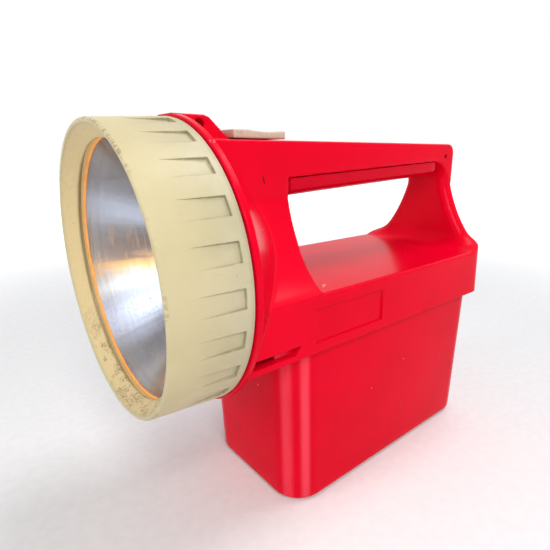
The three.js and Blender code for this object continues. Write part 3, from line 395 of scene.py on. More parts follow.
# Surface nets over the blocks near the skin, then each point drawn onto the field's zero level
def skinOf(field, low, high, step, block=4, passes=4):
    low = np.array(low, float)
    blocks = np.ceil((np.array(high) - low) / (step * block)).astype(int)
    count = blocks * block
    axes = [low[i] + step * np.arange(count[i]) for i in range(3)]
    middle = [low[i] + step * block * (np.arange(blocks[i]) + 0.5) - step / 2 for i in range(3)]
    coarse = field(*[g.ravel() for g in np.meshgrid(*middle, indexing="ij")]).reshape(blocks)
    near = np.abs(coarse) < step * (block * 1.3 + 1)
    values = coarse.repeat(block, 0).repeat(block, 1).repeat(block, 2)
    i, j, k = np.nonzero(near.repeat(block, 0).repeat(block, 1).repeat(block, 2))
    values[i, j, k] = field(axes[0][i], axes[1][j], axes[2][k])
    inside = values < 0
    size = count - 1
    corners = [(a, b, c) for a in (0, 1) for b in (0, 1) for c in (0, 1)]
    total = sum(inside[a:a + size[0], b:b + size[1], c:c + size[2]].astype(np.int8) for a, b, c in corners)
    cells = np.array(np.nonzero((total > 0) & (total < 8)))
    number = np.full(size, -1, np.int64)
    number[tuple(cells)] = np.arange(cells.shape[1])
    summed, hits = np.zeros((3, cells.shape[1])), np.zeros(cells.shape[1])
    for corner in corners:
        for axis in range(3):
            if corner[axis]:
                continue
            first = cells + np.array(corner)[:, None]
            second = first.copy()
            second[axis] += 1
            a, b = values[tuple(first)], values[tuple(second)]
            crossed = (a < 0) != (b < 0)
            point = first.astype(float)
            point[axis] += np.where(crossed, a / np.where(crossed, a - b, 1), 0)
            summed += np.where(crossed, point, 0)
            hits += crossed
    points = low + step * (summed / hits).T
    start = points.copy()
    for _ in range(passes):
        slope = fieldSlope(field, points)
        steep = np.maximum((slope ** 2).sum(1), 0.25)
        points = points - np.clip((field(*points.T) / steep)[:, None] * slope, -step, step)
        away = points - start
        far = np.linalg.norm(away, axis=1)
        points = start + away * np.minimum(1, step / np.maximum(far, 1e-9))[:, None]
    faces = []
    for axis in range(3):
        u, v = [(1, 2), (2, 0), (0, 1)][axis]
        first, second = [slice(1, -1)] * 3, [slice(1, -1)] * 3
        first[axis], second[axis] = slice(0, -1), slice(1, None)
        a, b = inside[tuple(first)], inside[tuple(second)]
        found = np.array(np.nonzero(a != b))
        found[u] += 1
        found[v] += 1
        quad = []
        for du, dv in ((0, 0), (1, 0), (1, 1), (0, 1)):
            at = found.copy()
            at[u] -= du
            at[v] -= dv
            quad.append(number[tuple(at)])
        quad = np.stack(quad, 1)
        turnedRound = ~a[a != b]
        quad[turnedRound] = quad[turnedRound][:, ::-1]
        faces.append(quad)
    return points, np.concatenate(faces)


print("kit ready")


# Upper housing: the outer skin is a field, the hollows and windows are cut out of it
shell = dict(
    wall=2.4, skirtLow=82.3, deck=107.2, skirtHalf=42.594, skirtLean=0.8, rear=76.194, cornerRound=11.0,
    deckRound=1.6, flangeRear=-98.7, flangeFront=-101.2, flangeRound=57.5, rimRound=56.6, bowlBack=-67.7,
    bowlBackRound=22.0, bowlBulge=1.0, handleTop=168.5, handleHalf=15.0, handleRound=1.6, handleRear=75.894,
    handleCorner=6.0, underFront=152.9, underRise=5.5, frontRear=-52.7, frontLean=4.3, plateFront=68.194,
    plateRound=6.0, footRound=9.0, shoulderRound=13.5, flareTop=144.2, flareSpread=(1, 0.55, 0.17, 0),
    flareRise=(0, 0.11, 0.6, 1), lugHalf=6.5, lugTop=177.07, lugRear=-86.7, lugSlope=9.3, ribLow=90.1,
    step=1.0, frontInset=0.8, skirtOverrun=1.5, pillarLean=0.997, pillarDrop=3, pillarFoot=6, plateDrop=4,
    plateFoot=8, edgeRound=0.8, plateEdge=1.6, topEdge=1.2, topStart=4, underRun=112, bowlLean=0.67,
    bowlEdge=2.0, bowlFillet=1.2, lugLean=0.73, lugEdge=1.0, lugSideEdge=0.6, lugFoot=8, rimEdge=0.3,
    spigotRound=52.7, spigotFront=-120.2, reachRound=50.5, reachMargin=1.2, bulbHole=15, slotLow=84.7,
    slotHigh=88.2, slotRear=-73.9, slotTopRear=-70.6, catchHalf=11.3,
    stemSlot=((-2.3, -67.3, 163), (2.3, -52.7, 172)), strapHole=(1.4, (66.9, 161)),
    lugHole=(2.0, (-90.3, 173.8)), badge=((-63, 86.6), (-20, 101.5)), badgePlace=0.43, badgeDepth=0.7,
    hollowReach=8, noseRear=-74.196, channelRear=56.8, bossRound=3.6, bossBore=1.5, bossTop=1.2,
    bossBoreTop=2.7, fit=0.3, ribWall=1.2, sideRibs=(38.3, -39, 40), rearRibs=(-13.33, 71.9, 26.67),
    ribSize=(6.2, 2), switchBoss=(5.6, 5.6, 5.7), switchBore=(2.4, 2.4, 4.6), switchPlace=(-73.1, 26.2),
    switchBossMiddle=164.45, switchBoreMiddle=163.5, fieldLow=(-60, -104, 58), fieldHigh=(60, 80, 180),
    floorLow=(-60, -104, 70), floorHalf=60, belowLow=(-70, -120, 50), belowHigh=(70, 90), belowRound=60,
    belowFront=-110, reachFront=-125, spigotBack=-100, spigotSteps=120, rimSteps=180, windowHalf=60,
    catchDepths=(72, 80), strapHoleHalf=20, strapHoleSteps=32, lugHoleHalf=12, lugHoleSteps=40, badgeOut=50,
    sharpAngle=24,
)


def flareCurve(inset=0.0):
    s = shell
    edge = s["skirtHalf"] - s["skirtLean"]
    points = [(s["handleHalf"] + (edge - s["handleHalf"]) * a, s["deck"] + (s["flareTop"] - s["deck"]) * b)
              for a, b in zip(s["flareSpread"], s["flareRise"])]
    table = bezierTable(points)
    slope = np.gradient(table, axis=0)
    slope /= np.linalg.norm(slope, axis=1)[:, None]
    return np.stack([table[:, 0] - inset * np.abs(slope[:, 1]), table[:, 1] - inset * np.abs(slope[:, 0])], 1)


def frontRearAt(z):
    s = shell
    drop = np.clip((s["handleTop"] - z) / (s["handleTop"] - s["deck"]), 0, 1)
    return s["frontRear"] - s["frontLean"] * drop


flareTable = flareCurve()
flareSlope = np.gradient(flareTable[:, 0], flareTable[:, 1])


def housingField(x, y, z):
    s = shell
    x = np.abs(x)
    rise = (z - s["skirtLow"]) / (s["deck"] - s["skirtLow"])
    side = x - s["skirtHalf"] + s["skirtLean"] * rise
    plan = roundCommon(side, y - s["rear"], s["cornerRound"])
    front = s["flangeRear"] - s["frontInset"] - y
    skirt = roundCommon(np.maximum(plan, front), z - s["deck"], s["deckRound"])
    skirt = np.maximum(skirt, s["skirtLow"] - s["skirtOverrun"] - z)
    flareX = np.interp(z, flareTable[:, 1], flareTable[:, 0])
    lean = np.interp(z, flareTable[:, 1], flareSlope)
    flare = np.where(z < s["flareTop"], (x - flareX) / np.sqrt(1 + lean ** 2), x - s["handleHalf"])
    pillar = roundCommon(flare, (y - frontRearAt(z)) * s["pillarLean"], s["edgeRound"])
    pillarEnds = np.maximum(z - s["handleTop"] + s["pillarDrop"], s["deck"] - s["pillarFoot"] - z)
    pillar = np.maximum(np.maximum(pillar, front), pillarEnds)
    plate = roundCommon(flare, s["plateFront"] - y, s["plateRound"])
    plate = roundCommon(plate, y - s["rear"], s["plateEdge"])
    plateEnds = np.maximum(z - s["handleTop"] + s["plateDrop"], s["deck"] - s["plateFoot"] - z)
    plate = np.maximum(np.maximum(plate, plan), plateEnds)
    under = s["underFront"] + s["underRise"] * (y - s["frontRear"]) / s["underRun"]
    top = roundCommon(x - s["handleHalf"], z - s["handleTop"], s["handleRound"])
    rearTop = roundCommon(y - s["handleRear"], z - s["handleTop"], s["handleCorner"])
    top = roundCommon(top, rearTop, s["topEdge"])
    bar = np.maximum(roundCommon(top, under - z, s["edgeRound"]), front)
    body = roundJoin(plate, bar, s["shoulderRound"])
    body = np.maximum(body, np.where(z > s["flareTop"] + s["topStart"], top, body))
    body = roundJoin(body, skirt, s["footRound"])
    body = np.minimum(np.maximum(body, plan), pillar)
    away = np.hypot(x, z - lampHeight)
    share = np.clip((s["bowlBack"] - y) / (s["bowlBack"] - s["flangeRear"]), 0, 1)
    bulge = s["bowlBulge"] * 4 * share * (1 - share)
    bowlX = s["bowlBackRound"] + (s["rimRound"] - s["bowlBackRound"]) * share + bulge
    bowl = roundCommon((away - bowlX) * s["bowlLean"], y - s["bowlBack"], s["bowlEdge"])
    body = roundJoin(body, np.maximum(bowl, front), s["bowlFillet"])
    climb = (s["lugTop"] - s["handleTop"]) * (s["lugRear"] + s["lugSlope"] - y) / s["lugSlope"]
    slope = z - s["handleTop"] - climb
    lug = roundCommon(z - s["lugTop"], slope * s["lugLean"], s["lugEdge"])
    lug = roundCommon(np.maximum(lug, s["flangeFront"] - y), x - s["lugHalf"], s["lugSideEdge"])
    return roundJoin(body, np.maximum(lug, s["handleTop"] - s["lugFoot"] - z), s["edgeRound"])


def skirtRing(z, inset, step=6):
    s = shell
    half = s["skirtHalf"] - inset - s["skirtLean"] * (z - s["skirtLow"]) / (s["deck"] - s["skirtLow"])
    rear, r = s["rear"] - inset, s["cornerRound"] - inset
    low = s["flangeRear"] + inset
    turns = np.linspace(0, math.pi / 2, step)
    right = [(half - r + r * math.cos(a), rear - r + r * math.sin(a)) for a in turns]
    ring = [(half, low)] + right + [(-x, y) for x, y in reversed(right)] + [(-half, low)]
    return [(x, y, z) for x, y in ring]


def bowlShape(inset, steps=24):
    s = shell
    share = np.linspace(0, 1, steps)
    bulge = s["bowlBulge"] * 4 * share * (1 - share)
    radius = s["bowlBackRound"] + (s["rimRound"] - s["bowlBackRound"]) * share + bulge - inset * share
    back = s["bowlBack"] - inset * 1.414
    return list(zip(radius, back + (s["flangeRear"] - back) * share))


# The bowl as a solid, closed at the front by the points that end its outline
def bowlSolid(ending, steps):
    return turned("bowl", [(0, shell["bowlBack"])] + bowlShape(0) + ending, steps)


def pillarHollow(inset):
    s = shell
    curve = [p for p in flareCurve(inset)[::25] if p[1] > s["deck"] - inset]
    half = [(s["skirtHalf"] - s["skirtLean"] - inset, s["deck"] - inset - 1)]
    half += [tuple(p) for p in curve] + [(s["handleHalf"] - inset, s["underFront"] + 0.3)]
    outline = half + [(-x, z) for x, z in reversed(half)]
    front = [(x, s["flangeRear"] + inset, z) for x, z in outline]
    rear = [(x, float(frontRearAt(z)) - inset, z) for x, z in outline]
    return lofted("hollow", [front, rear])


# Bored bosses that take the grip's screws
def makeBosses():
    s = shell
    bosses = []
    for y in grip["screws"]:
        low = gripBottomAt(y) + grip["postHeight"] + s["fit"]
        boss = prism("boss", disc(s["bossRound"], (0, y), roundSteps), 2, low, s["handleTop"] - s["bossTop"])
        bore = prism("bore", disc(s["bossBore"], (0, y), smallSteps), 2, low - overrun,
                     s["handleTop"] - s["bossBoreTop"])
        bosses.append(combine(boss, [bore]))
    return bosses


# What stands in the housing's hollow
def makeRows(material):
    s = shell
    middle, height = (s["ribLow"] + s["deck"] - s["ribWall"]) / 2, s["deck"] - s["ribWall"] - s["ribLow"]
    (reach, first, apart), (deep, thin) = s["sideRibs"], s["ribSize"]
    size = (deep, thin, height)
    rows = [rowOf("side_ribs", 3, (side * reach, first, middle), (0, apart, 0), size, material)
            for side in (-1, 1)]
    first, place, apart = s["rearRibs"]
    rows.append(rowOf("rear_ribs", 2, (first, place, middle), (apart, 0, 0), (thin, deep, height), material))
    first, apart = s["switchPlace"]
    pair = (("switch_bosses", s["switchBossMiddle"], s["switchBoss"]),
            ("boss_bores", s["switchBoreMiddle"], s["switchBore"]))
    bosses, bores = (rowOf(name, 2, (0, first, place), (0, apart, 0), size, material, True)
                     for name, place, size in pair)
    return rows + [combine(bosses, [bores])]


def makeHousing(material):
    s = shell
    w, deck, lip = s["wall"], s["deck"], s["rimEdge"]
    points, faces = skinOf(housingField, s["fieldLow"], s["fieldHigh"], s["step"])
    piece = objectOf("housing_shell", points, faces, material)
    cavity = lofted("cavity", [skirtRing(s["skirtLow"] - s["hollowReach"], w), skirtRing(deck - w, w)])
    floor = block("floor", s["floorLow"], (s["floorHalf"], s["noseRear"], s["skirtLow"] + w))
    channel = block("channel", (-s["handleHalf"] + w, s["flangeRear"] + w, s["underFront"] - overrun),
                    (s["handleHalf"] - w, s["channelRear"], s["handleTop"] - w))
    combine(cavity, [floor])
    combine(cavity, [pillarHollow(w), channel], "UNION")
    flange = [(s["flangeRound"], s["flangeRear"] - sliver), (0, s["flangeRear"] - sliver)]
    combine(cavity, [bowlSolid(flange, ringSteps)])
    inner = s["reachRound"]
    inside = [p for p in bowlShape(w) if p[0] < inner - s["reachMargin"] and p[1] > s["flangeFront"]]
    front = s["reachFront"]
    inside += [(inner, s["flangeFront"]), (inner, front), (0, front)]
    reach = turned("reach", [(0, inside[0][1])] + inside, ringSteps)
    back, front, radius = s["spigotBack"], s["spigotFront"], s["spigotRound"]
    spigot = turned("spigot", [(0, back), (radius, back), (radius, front), (0, front)], s["spigotSteps"])
    below = block("below", s["belowLow"], (*s["belowHigh"], s["skirtLow"]))
    radius, front = s["belowRound"], s["belowFront"]
    combine(below, [bowlSolid([(radius, s["flangeRear"]), (radius, front), (0, front)], s["rimSteps"])])
    front, back, radius = s["flangeFront"], s["flangeRear"], s["flangeRound"]
    rim = turned("rim", [(0, front - sliver), (radius - lip, front - sliver), (radius, front + lip),
                         (radius, back - lip), (radius - lip, back), (0, back)], s["rimSteps"])
    combine(piece, [below])
    combine(piece, [rim, spigot], "UNION")
    slotFront = s["flangeRear"] + w
    windows = prism("windows", [(slotFront, s["slotLow"]), (s["slotRear"], s["slotLow"]),
                                (s["slotTopRear"], s["slotHigh"]), (slotFront, s["slotHigh"])], 0,
                    -s["windowHalf"], s["windowHalf"])
    combine(windows, [bowlSolid(flange, ringSteps)])
    cutters = [cavity, reach, windows,
               prism("bulbHole", disc(s["bulbHole"], (0, lampHeight), roundSteps), 1, s["flangeFront"],
                     s["bowlBack"] + overrun),
               block("catchWindow", (-s["catchHalf"], s["catchDepths"][0], s["slotLow"]),
                     (s["catchHalf"], s["catchDepths"][1], s["slotHigh"])),
               block("stemSlot", *s["stemSlot"]),
               *(prism(name, disc(*s[name], s[name + "Steps"]), 0, -s[name + "Half"], s[name + "Half"])
                 for name in ("strapHole", "lugHole"))]
    depth = s["skirtHalf"] - s["badgePlace"] - s["badgeDepth"]
    for side in (-1, 1):
        low, high = sorted((side * depth, side * s["badgeOut"]))
        cutters.append(block("badge", (low, *s["badge"][0]), (high, *s["badge"][1])))
    combine(piece, cutters)
    combine(piece, makeBosses(), "UNION")
    for row in makeRows(material):
        combine(piece, [row], "UNION")
    smooth(piece, s["sharpAngle"])
    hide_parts("upper_housing")
    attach(piece, "housing")
    print("housing", len(piece.data.polygons))


# Battery case
case = dict(halfLength=71.4, halfWidth=37.2, draft=0.02, corner=15.4, bottom=0.8, bottomRound=2.5, top=89.8,
            wall=2.4, cornerSteps=14, bottomSteps=8, sideStart=6, sideSteps=12, hollowOver=2, hookLow=85.0,
            hookThick=2.9, hookWidth=8.0, hookEnds=(-82.7, -57.8), hookInset=1.2, gateBoss=(9, 2.3),
            gateSteps=64, nib=((-11, 71.9, 85.0), (11, 73.9, 87.9)), ribPlace=17.2, ribMiddle=4.3, ribWidth=2,
            ribShort=2.4, ribHeight=6.2, postPlace=34.4, post=(35.6, 8.4, 68.8), postBore=(66, 2.6, 11))


def caseRing(z, inset):
    c = case
    halfX = c["halfWidth"] + c["draft"] * z - inset
    halfY = c["halfLength"] + c["draft"] * z - inset
    r = max(c["corner"] - inset, 1.0)
    turns = np.linspace(0, math.pi / 2, c["cornerSteps"])
    ring = []
    for sx, sy, start in ((1, 1, 0), (-1, 1, 1), (-1, -1, 2), (1, -1, 3)):
        for a in turns + start * math.pi / 2:
            ring.append((sx * (halfX - r) + r * math.cos(a), sy * (halfY - r) + r * math.sin(a), z))
    return ring


def caseHollow(inset):
    return lofted("inside", [caseRing(case["wall"], inset),
                             caseRing(case["top"] + case["hollowOver"], inset)])


def makeCase(material):
    c = case
    turns = np.linspace(0, math.pi / 2, c["bottomSteps"])
    r = c["bottomRound"]
    rings = [caseRing(c["bottom"] + r * (1 - math.sin(a)), r * (1 - math.cos(a))) for a in turns[::-1]]
    rings += [caseRing(z, 0) for z in np.linspace(c["bottom"] + r + c["sideStart"], c["top"], c["sideSteps"])]
    piece = lofted("case_shell", rings, material)
    combine(piece, [caseHollow(c["wall"])])
    outerX = shell["skirtHalf"] - shell["wall"] - shell["fit"]
    front, rear = c["hookEnds"]
    added = []
    for side in (-1, 1):
        low, high = sorted((side * (outerX - c["hookWidth"]), side * outerX))
        hook = block("hook", (low, front, c["hookLow"]), (high, rear, c["hookLow"] + c["hookThick"]))
        added.append(combine(hook, [caseHollow(c["hookInset"])]))
    radius, height = c["gateBoss"]
    added += [prism("boss", disc(radius, (0, 0), c["gateSteps"]), 2, 0, height), block("nib", *c["nib"])]
    combine(piece, added, "UNION")
    ribs = rowOf("case_ribs", 2, (-c["ribPlace"], 0, c["ribMiddle"]), (2 * c["ribPlace"], 0, 0),
                 (c["ribWidth"], 2 * c["halfLength"] - c["ribShort"], c["ribHeight"]), material)
    place, apart = -c["postPlace"], (0, 2 * c["postPlace"], 0)
    posts, bores = (rowOf(name, 2, (0, place, middle), apart, (width, width, height), material, True)
                    for name, (middle, width, height) in (("case_posts", c["post"]),
                                                          ("post_bores", c["postBore"])))
    for row in (ribs, combine(posts, [bores])):
        combine(piece, [row], "UNION")
    smooth(piece, 30)
    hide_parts("battery_case")
    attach(piece, "case")
    print("case", len(piece.data.polygons))


# Bezel ring: a lathe, let in by a round of recesses for the fingers
ring = dict(rear=-101.5, front=-130.5, rearRound=56.6, frontRound=55.0, bore=53.7, lip=48.8, lipBack=-124.6,
            lipFront=-125.4, rimInner=53.3, count=24, width=6.8, band=3.3, length=17.5, depth=1.15,
            cutHeight=4, cutLong=1.2, steps=288, boreEdge=0.3, rearEdge=((-0.5, 0), (-0.2, -0.3)),
            stepEdge=((-0.2, -1.0), (0, -1.2)), stops=(3, 12, 20, 28.2),
            frontEdge=((-0.08, 0.35), (-0.35, 0.08), (-0.6, 0)), rimEdge=((0.5, 0), (0.15, 0.15), (0, 0.5)),
            lipEdge=((1.2, -1.2), (0.25, -0.15), (0, 0.15)))


# One wedge for each recess, stood round the axis and cut out together
def letInRecesses(piece, material):
    s = ring
    slope = (s["rearRound"] - s["frontRound"]) / (s["rear"] - s["front"])
    start = s["band"] - s["rear"]
    floor = s["rearRound"] - slope * s["band"] - s["depth"]
    tilt = math.atan((s["depth"] - slope * s["length"]) / s["length"])
    tree = Shaping("finger_recesses", {
        "Count": s["count"], "Floor radius": floor * unit, "Start": start * unit, "Width": s["width"] * unit,
        "Length": s["length"] * unit, "Height": s["cutHeight"] * unit, "Tilt": tilt,
        "Axis height": lampHeight * unit})
    height, length = tree.given("Height"), tree.given("Length")
    size = tree.vector(height, tree.given("Width"), length * s["cutLong"])
    wedge = tree.made("GeometryNodeMeshCube", Size=size)
    wedge = tree.moved(wedge, Translation=tree.vector(height / 2, 0.0, length * (s["cutLong"] / 2)))
    wedge = tree.moved(wedge, Rotation=tree.vector(0.0, tree.given("Tilt"), 0.0))
    wedge = tree.moved(wedge, Translation=tree.vector(tree.given("Floor radius"), 0.0, tree.given("Start")))
    stand = tree.made("GeometryNodePoints", Count=tree.given("Count"))
    turn = tree.node("GeometryNodeInputIndex") / tree.given("Count") * (2 * math.pi)
    around = tree.node("FunctionNodeEulerToRotation", None, [tree.vector(0.0, 0.0, turn)])
    wedges = tree.made("GeometryNodeInstanceOnPoints", Points=stand, Instance=wedge, Rotation=around)
    wedges = tree.moved(wedges, Translation=tree.vector(0.0, 0.0, tree.given("Axis height")),
                        Rotation=(math.pi / 2, 0.0, 0.0))
    body = tree.node("GeometryNodeMeshBoolean", {"operation": "DIFFERENCE", "solver": "MANIFOLD"},
                     {0: tree.given("Geometry"), 1: tree.realized(wedges)})
    return tree.shape(piece, body, material)


def makeRing(material):
    s = ring
    slope = (s["rearRound"] - s["frontRound"]) / (s["rear"] - s["front"])
    profile = [(s["bore"] + s["boreEdge"], s["rear"])]
    for radius, place, edge in ((s["rearRound"], s["rear"], s["rearEdge"]),
                                (s["rearRound"] - slope, s["rear"], s["stepEdge"]),
                                (s["rearRound"], s["rear"], [(-slope * y, -y) for y in s["stops"]]),
                                (s["frontRound"], s["front"], s["frontEdge"]),
                                (s["rimInner"], s["front"], s["rimEdge"]),
                                (s["lip"], s["lipFront"], s["lipEdge"])):
        profile += [(radius + out, place + back) for out, back in edge]
    profile += [(s["lip"], s["lipBack"]), (s["bore"], s["lipBack"]), (s["bore"], s["rear"] - s["boreEdge"])]
    piece = letInRecesses(turned("ring_shell", profile, s["steps"], material), material)
    smooth(piece, 30)
    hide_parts("bezel_ring")
    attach(piece, "bezel")
    print("ring", len(piece.data.polygons))


# Lens, gasket and reflector
lamp = dict(lensRound=53.0, lensFront=-124.5, lensBack=-122.5, gasketInner=49.8, gasketFront=-122.4,
            gasketBack=-121.4, gasketSeen=(50.15, 50.4), rim=-121.3, inner=49.4, depth=46.9, wall=0.8,
            neck=9.0, neckLength=6.0, outer=52.7, edge=0.4, curveSteps=60, steps=240)


def makeLamp(finishes):
    s = lamp
    radius, front, back = s["lensRound"], s["lensFront"], s["lensBack"]
    lens = turned("lens_glass", [(0, front), (radius - s["edge"], front), (radius, front + s["edge"]),
                                 (radius, back), (0, back)], s["steps"], finishes["clear_lens"])
    inner, front, back = s["gasketInner"], s["gasketFront"], s["gasketBack"]
    gasket = turned("gasket_ring", [(inner, front), (radius, front), (radius, back), (inner, back)],
                    s["steps"], finishes["gasket_rubber"])
    focus = s["inner"] ** 2 / (4 * s["depth"])
    vertex = s["rim"] + s["depth"]
    radii = np.linspace(s["inner"], s["neck"], s["curveSteps"])
    inner = [(r, vertex - r * r / (4 * focus)) for r in radii]
    neckBack = vertex - s["neck"] ** 2 / (4 * focus) + s["neckLength"]
    outer = [(r + s["wall"], max(y, s["rim"])) for r, y in inner[::-1]]
    profile = inner + [(s["neck"], neckBack), (s["neck"] + s["wall"], neckBack)] + outer[:-1]
    back = s["rim"] + s["wall"]
    profile += [(s["inner"] + s["wall"], back), (s["outer"], back), (s["outer"], s["rim"])]
    mirror = turned("mirror_bowl", profile, s["steps"], finishes["reflector_metal"])
    for piece, node, slot in ((lens, "lens", "clear_lens"), (gasket, "lens_gasket", "gasket_rubber"),
                              (mirror, "reflector", "reflector_metal")):
        smooth(piece, 40)
        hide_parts(node)
        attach(piece, "lamp")
    print("lamp", len(mirror.data.polygons))


# Bulb: a thin glass, and a coiled filament between two wires on a stem
bulb = dict(base=-77.45, front=-92.8, neck=4.3, round=5.35, wall=0.35, coilAt=-87.4, coilRound=0.45,
            coilLength=4.0, turns=11.0, coilSteps=14, wire=0.09, wireSteps=6, wirePlace=0.8, wireSink=1,
            stemRound=1.5, stemEnd=-81.5, curveSteps=28, neckRun=1.5, glassSteps=64, stemSteps=32,
            stemTip=0.8, stemEdge=0.5, stemFlare=0.4)


def coiledFilament(piece, material):
    s = bulb
    tree = Shaping("filament", {"Turns": s["turns"], "Coil radius": s["coilRound"] * unit,
                                "Coil length": s["coilLength"] * unit, "Wire radius": s["wire"] * unit,
                                "Coil place": s["coilAt"] * unit, "Stem end": s["stemEnd"] * unit,
                                "Axis height": lampHeight * unit})
    coil, place = tree.given("Coil radius"), tree.given("Coil place")
    reach, high = tree.given("Coil length") / 2, tree.given("Axis height")
    section = tree.made("GeometryNodeCurvePrimitiveCircle", Resolution=s["wireSteps"],
                        Radius=tree.given("Wire radius"))
    spiral = tree.made("GeometryNodeCurveSpiral", Resolution=s["coilSteps"], Rotations=tree.given("Turns"),
                       Start_Radius=coil, End_Radius=coil, Height=reach * 2)
    parts = [tree.moved(spiral, Translation=tree.vector(-reach, place, high),
                        Rotation=(0.0, math.pi / 2, 0.0))]
    for side in (-1, 1):
        start = tree.vector(s["wirePlace"] * side * unit, tree.given("Stem end") + s["wireSink"] * unit, high)
        end = tree.vector(reach * side, place, high - coil)
        parts.append(tree.made("GeometryNodeCurvePrimitiveLine", Start=start, End=end))
    whole = tree.node("GeometryNodeJoinGeometry")
    for part in parts:
        tube = tree.made("GeometryNodeCurveToMesh", Curve=part, Profile_Curve=section, Fill_Caps=True)
        tree.nodeTree.links.new(tube.socket, whole.socket.node.inputs[0])
    return tree.shape(piece, tree.realized(whole), material)


def makeBulb(finishes):
    s = bulb
    middle = s["front"] + s["round"]
    first = math.asin(s["neck"] / s["round"])
    turns = np.linspace(0, math.pi - first, s["curveSteps"])

    def profile(inset):
        r = s["round"] - inset
        outline = [(r * math.sin(a), middle - r * math.cos(a)) for a in turns]
        outline[0] = (0, middle - r)
        return outline + [(s["neck"] - inset, outline[-1][1] + s["neckRun"]), (s["neck"] - inset, s["base"])]

    glass = turned("bulb_envelope", profile(0) + profile(s["wall"])[::-1], s["glassSteps"],
                   finishes["bulb_glass"])
    end, edge, base = s["stemEnd"], s["stemEdge"], s["base"]
    radius, tip = s["stemRound"], s["stemTip"]
    stem = turned("bulb_stem", [(0, end), (radius * tip, end), (radius, end + edge),
                                (radius + s["stemFlare"], base - edge), (s["neck"] - tip, base), (0, base)],
                  s["stemSteps"], finishes["bulb_glass"])
    filament = coiledFilament(objectOf("bulb_filament", [], []), finishes["screw_steel"])
    for piece in (glass, stem, filament):
        smooth(piece, 50)
        "screw_steel" if piece == filament else "bulb_glass"
        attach(piece, "lamp")
    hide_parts("bulb_glass")
    print("bulb", len(filament.data.polygons))


# Grip insert under the handle
grip = dict(front=-52.4, rear=59.2, half=13.8, depth=9.0, wall=2.0, steps=20, screws=(-38.4, 45.2), sink=2.5,
            postHeight=4.5, seam=0.3, ends=((0, 0.9), (0.25, 0.4), (0.9, 0)), endRun=4, lengthSteps=20,
            mouth=2, postRound=5.1, holeRound=1.5, headRound=3.1, cut=2, holeTop=8)


def handleUnder(y):
    share = (y - grip["front"]) / (grip["rear"] - grip["front"])
    return shell["underFront"] + share * shell["underRise"]


def gripBottomAt(y):
    return handleUnder(y) - grip["depth"]


def gripRing(y, inset, mouth):
    s = grip
    side = handleUnder(y)
    half, low = s["half"] - inset, side - s["depth"] + inset
    middle = side - s["seam"] - s["depth"] / 2
    turns = np.linspace(math.pi, 2 * math.pi, s["steps"])
    under = [(half * math.cos(a), y, middle + (middle - low) * math.sin(a)) for a in turns]
    top = side - s["seam"] + mouth
    return [(half, y, top), (-half, y, top)] + under


def makeGrip(material):
    s = grip
    front, rear, wall, run = s["front"], s["rear"], s["wall"], s["endRun"]
    ends = [(front + back, inset) for back, inset in s["ends"]]
    ends += [(y, 0) for y in np.linspace(front + run, rear - run, s["lengthSteps"])]
    ends += [(rear - back, inset) for back, inset in s["ends"][::-1]]
    piece = lofted("grip_shell", [gripRing(y, inset, 0) for y, inset in ends], material)
    combine(piece, [lofted("inside", [gripRing(y, wall, s["mouth"]) for y in (front + wall, rear - wall)])])
    posts, holes = [], []
    for y in s["screws"]:
        low = gripBottomAt(y)
        post = disc(s["postRound"], (0, y), roundSteps)
        post = prism("post", post, 2, low - overrun, low + s["postHeight"])
        outside = lofted("outside", [gripRing(end, 0, 0) for end in (front, rear)])
        posts.append(combine(post, [outside], "INTERSECT"))
        for name, radius, steps, top in (("hole", s["holeRound"], smallSteps, s["holeTop"]),
                                         ("head", s["headRound"], roundSteps, s["sink"])):
            holes.append(prism(name, disc(radius, (0, y), steps), 2, low - s["cut"], low + top))
    combine(piece, posts, "UNION")
    combine(piece, holes)
    smooth(piece, 35)
    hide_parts("grip_insert")
    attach(piece, "housing")


# Slide switch, with a taller front block and a hollow for the thumb
slider = dict(front=-77.0, rear=-51.0, half=9.0, low=168.8, top=172.2, blockLength=7.0, sag=0.6,
              hollowSteps=24, stem=((-2, -67, 165.9), (2, -61, 170)), round=0.45, roundSegments=3,
              roundAngle=40)


def makeSlider(material):
    s = slider
    blockEnd = s["front"] + s["blockLength"]
    shares = np.linspace(0, 1, s["hollowSteps"])
    hollow = [(blockEnd + (s["rear"] - blockEnd) * t, s["top"] - s["sag"] * 4 * t * (1 - t)) for t in shares]
    outline = [(s["front"], s["low"]), (s["front"], s["top"])] + hollow + [(s["rear"], s["low"])]
    piece = prism("slider_pad", outline, 0, -s["half"], s["half"], material)
    combine(piece, [block("stem", *s["stem"])], "UNION")
    modifier = piece.modifiers.new("round", "BEVEL")
    modifier.width, modifier.segments, modifier.limit_method = s["round"] * unit, s["roundSegments"], "ANGLE"
    modifier.angle_limit = math.radians(s["roundAngle"])
    settle(piece)
    smooth(piece, 35)
    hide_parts("switch_slider")
    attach(piece, "slider")


